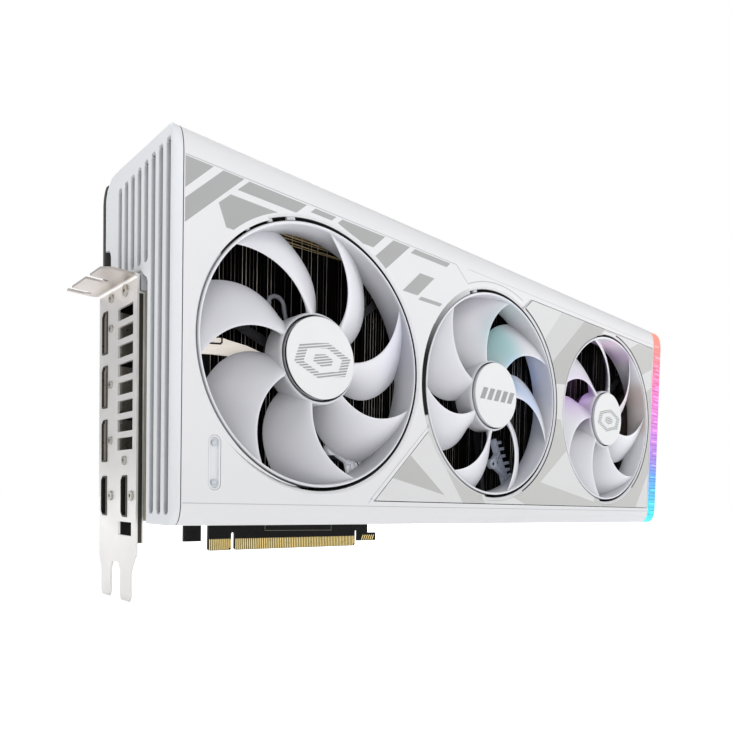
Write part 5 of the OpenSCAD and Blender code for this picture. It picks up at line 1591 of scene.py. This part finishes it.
# ------------------------------------------------------------------ studio
def studio():
    scene = bpy.context.scene
    w = bpy.data.worlds.new("studio_white")
    scene.world = w
    w.use_nodes = True
    nt = w.node_tree
    for n in list(nt.nodes):
        nt.nodes.remove(n)
    out = node(nt, "ShaderNodeOutputWorld")
    cam_bg = node(nt, "ShaderNodeBackground")
    cam_bg.inputs["Color"].default_value = (1.0, 1.0, 1.0, 1.0)
    cam_bg.inputs["Strength"].default_value = 1.0
    amb = node(nt, "ShaderNodeBackground")
    co = node(nt, "ShaderNodeTexCoord").outputs["Generated"]
    sep = node(nt, "ShaderNodeSeparateXYZ")
    nt.links.new(co, sep.inputs[0])
    up = ranged(nt, sep.outputs["Z"], 0.0, 1.0, -0.5, 0.9)
    # the surround is dimmer and cooler towards the bracket end
    west = ranged(nt, sep.outputs["X"], 0.0, 1.0, -0.9, 0.1)
    sky = mixcol(nt, up, lin("#C9C9CE"), lin("#FFFFFF"))
    nt.links.new(mixcol(nt, west, mixcol(nt, 0.5, sky, lin("#A9AFB8")), sky), amb.inputs["Color"])
    amb.inputs["Strength"].default_value = 0.56
    lp = node(nt, "ShaderNodeLightPath")
    mx = node(nt, "ShaderNodeMixShader")
    nt.links.new(lp.outputs["Is Camera Ray"], mx.inputs[0])
    nt.links.new(amb.outputs[0], mx.inputs[1])
    nt.links.new(cam_bg.outputs[0], mx.inputs[2])
    nt.links.new(mx.outputs[0], out.inputs["Surface"])

    def area(name, loc, target, size, power, col=(1, 1, 1), spread=180):
        l = bpy.data.lights.new(name, "AREA")
        l.shape = "RECTANGLE"
        l.size, l.size_y = size
        l.energy = power
        l.color = col
        l.spread = math.radians(spread)
        o = bpy.data.objects.new(name, l)
        o.location = loc
        d = Vector(target) - Vector(loc)
        o.rotation_mode = "QUATERNION"
        o.rotation_quaternion = d.to_track_quat("-Z", "Y")
        o.visible_camera = False
        scene.collection.objects.link(o)
        return o
    area("key_upper_left", (-0.45, -1.15, 1.10), (0.15, -0.03, 0.08), (1.1, 0.9), 4.55)
    area("fill_right", (1.35, -1.0, 0.45), (0.2, -0.03, 0.08), (0.9, 0.9), 2.4)
    area("front_low", (-0.15, -1.35, 0.16), (0.12, -0.03, 0.05), (0.9, 0.4), 0.55)
    area("top_back", (0.2, 0.7, 1.0), (0.15, 0.0, 0.1), (1.2, 0.5), 3.2)
    area("side_left", (-1.1, 0.15, 0.45), (0.0, -0.03, 0.07), (0.7, 0.7), 0.7)

    # coloured glow that spills from the light bar and the board onto the blades
    def glow(name, loc, power, col, r=0.006):
        l = bpy.data.lights.new(name, "POINT")
        l.energy = power
        l.color = col
        l.shadow_soft_size = r
        o = bpy.data.objects.new(name, l)
        o.location = [c * MM for c in loc]
        o.visible_camera = False
        scene.collection.objects.link(o)
    glow("glow_violet", (FANS[2][0] - 20, -47.0, FANS[2][1] + 26), 0.004, (0.72, 0.35, 1.0))
    glow("glow_blue", (FANS[1][0] + 36, -47.0, FANS[1][1] + 14), 0.003, (0.35, 0.55, 1.0))

    # pale floor, fading into the white surround away from the object
    zf = cad_lo.z - 0.0002
    n = 72
    radii = [0.0, 0.3, 0.6, 1.0, 1.6, 3.0, 6.0, 14.0]
    verts, faces = [(0.17, -0.03, zf)], []
    for r in radii[1:]:
        for i in range(n):
            verts.append((0.17 + r * math.cos(2 * math.pi * i / n), -0.03 + r * math.sin(2 * math.pi * i / n), zf))
    for i in range(n):
        faces.append([0, 1 + i, 1 + (i + 1) % n])
    for k in range(len(radii) - 2):
        for i in range(n):
            j = (i + 1) % n
            faces.append([1 + k * n + i, 1 + (k + 1) * n + i, 1 + (k + 1) * n + j, 1 + k * n + j])
    me = bpy.data.meshes.new("floor_disc")
    me.from_pydata(verts, [], faces)
    fl = bpy.data.objects.new("floor_disc", me)
    scene.collection.objects.link(fl)
    fm = coat_mat("floor_pale", lin("#FAFAFA"), 0.85, var=0.004, vscale=3, grain=0.02, gscale=300, ao=0, spec=0.15)
    fnt = fm.node_tree
    fb = fnt.nodes["Principled BSDF"]
    fco = node(fnt, "ShaderNodeTexCoord").outputs["Object"]
    dist = node(fnt, "ShaderNodeVectorMath", operation="DISTANCE")
    fnt.links.new(fco, dist.inputs[0])
    dist.inputs[1].default_value = (0.17, -0.03, zf)
    fade = ranged(fnt, dist.outputs["Value"], 0.30, 1.1, 0.25, 0.95)
    fb.inputs["Emission Color"].default_value = (1, 1, 1, 1)
    seen = node(fnt, "ShaderNodeMath", operation="MULTIPLY_ADD")
    fnt.links.new(node(fnt, "ShaderNodeLightPath").outputs["Is Camera Ray"], seen.inputs[0])
    seen.inputs[1].default_value = 0.36
    fnt.links.new(fade, seen.inputs[2])
    fnt.links.new(seen.outputs[0], fb.inputs["Emission Strength"])
    me.materials.append(fm)

    cam = bpy.data.cameras.new("camera_main")
    co_ = bpy.data.objects.new("camera_main", cam)
    scene.collection.objects.link(co_)
    right = Vector((0.7023326355, -0.7114324741, 0.0243455110))
    down = Vector((-0.0097144507, -0.0437761833, -0.9989941317))
    fwd = Vector((0.7117826203, 0.7013896781, -0.0376566179))
    rot = Matrix((right, -down, -fwd)).transposed()
    co_.rotation_mode = "QUATERNION"
    co_.rotation_quaternion = rot.to_quaternion()
    co_.location = Vector((-0.091784, -0.280781, 0.024213))
    cam.sensor_width = 36.0
    cam.lens = 648.729 / 732 * 36.0
    cam.clip_start, cam.clip_end = 0.01, 30.0
    # the lens shift belongs to this place only: it fades to none when the camera is moved round the object
    for path, val in (("shift_x", (366 - 435.950) / 732), ("shift_y", (527.579 - 366) / 732)):
        d = cam.driver_add(path).driver
        d.type = "SCRIPTED"
        vr = d.variables.new()
        vr.name = "px"
        vr.type = "TRANSFORMS"
        vr.targets[0].id = co_
        vr.targets[0].transform_type = "LOC_X"
        vr.targets[0].transform_space = "WORLD_SPACE"
        vy = d.variables.new()
        vy.name = "py"
        vy.type = "TRANSFORMS"
        vy.targets[0].id = co_
        vy.targets[0].transform_type = "LOC_Y"
        vy.targets[0].transform_space = "WORLD_SPACE"
        d.expression = "%.6f if (abs(px + 0.091784) + abs(py + 0.280781)) < 0.0005 else 0.0" % val
    scene.camera = co_
    scene.view_settings.view_transform = "Standard"
    scene.view_settings.look = "None"
    scene.view_settings.exposure = 0.0


studio()
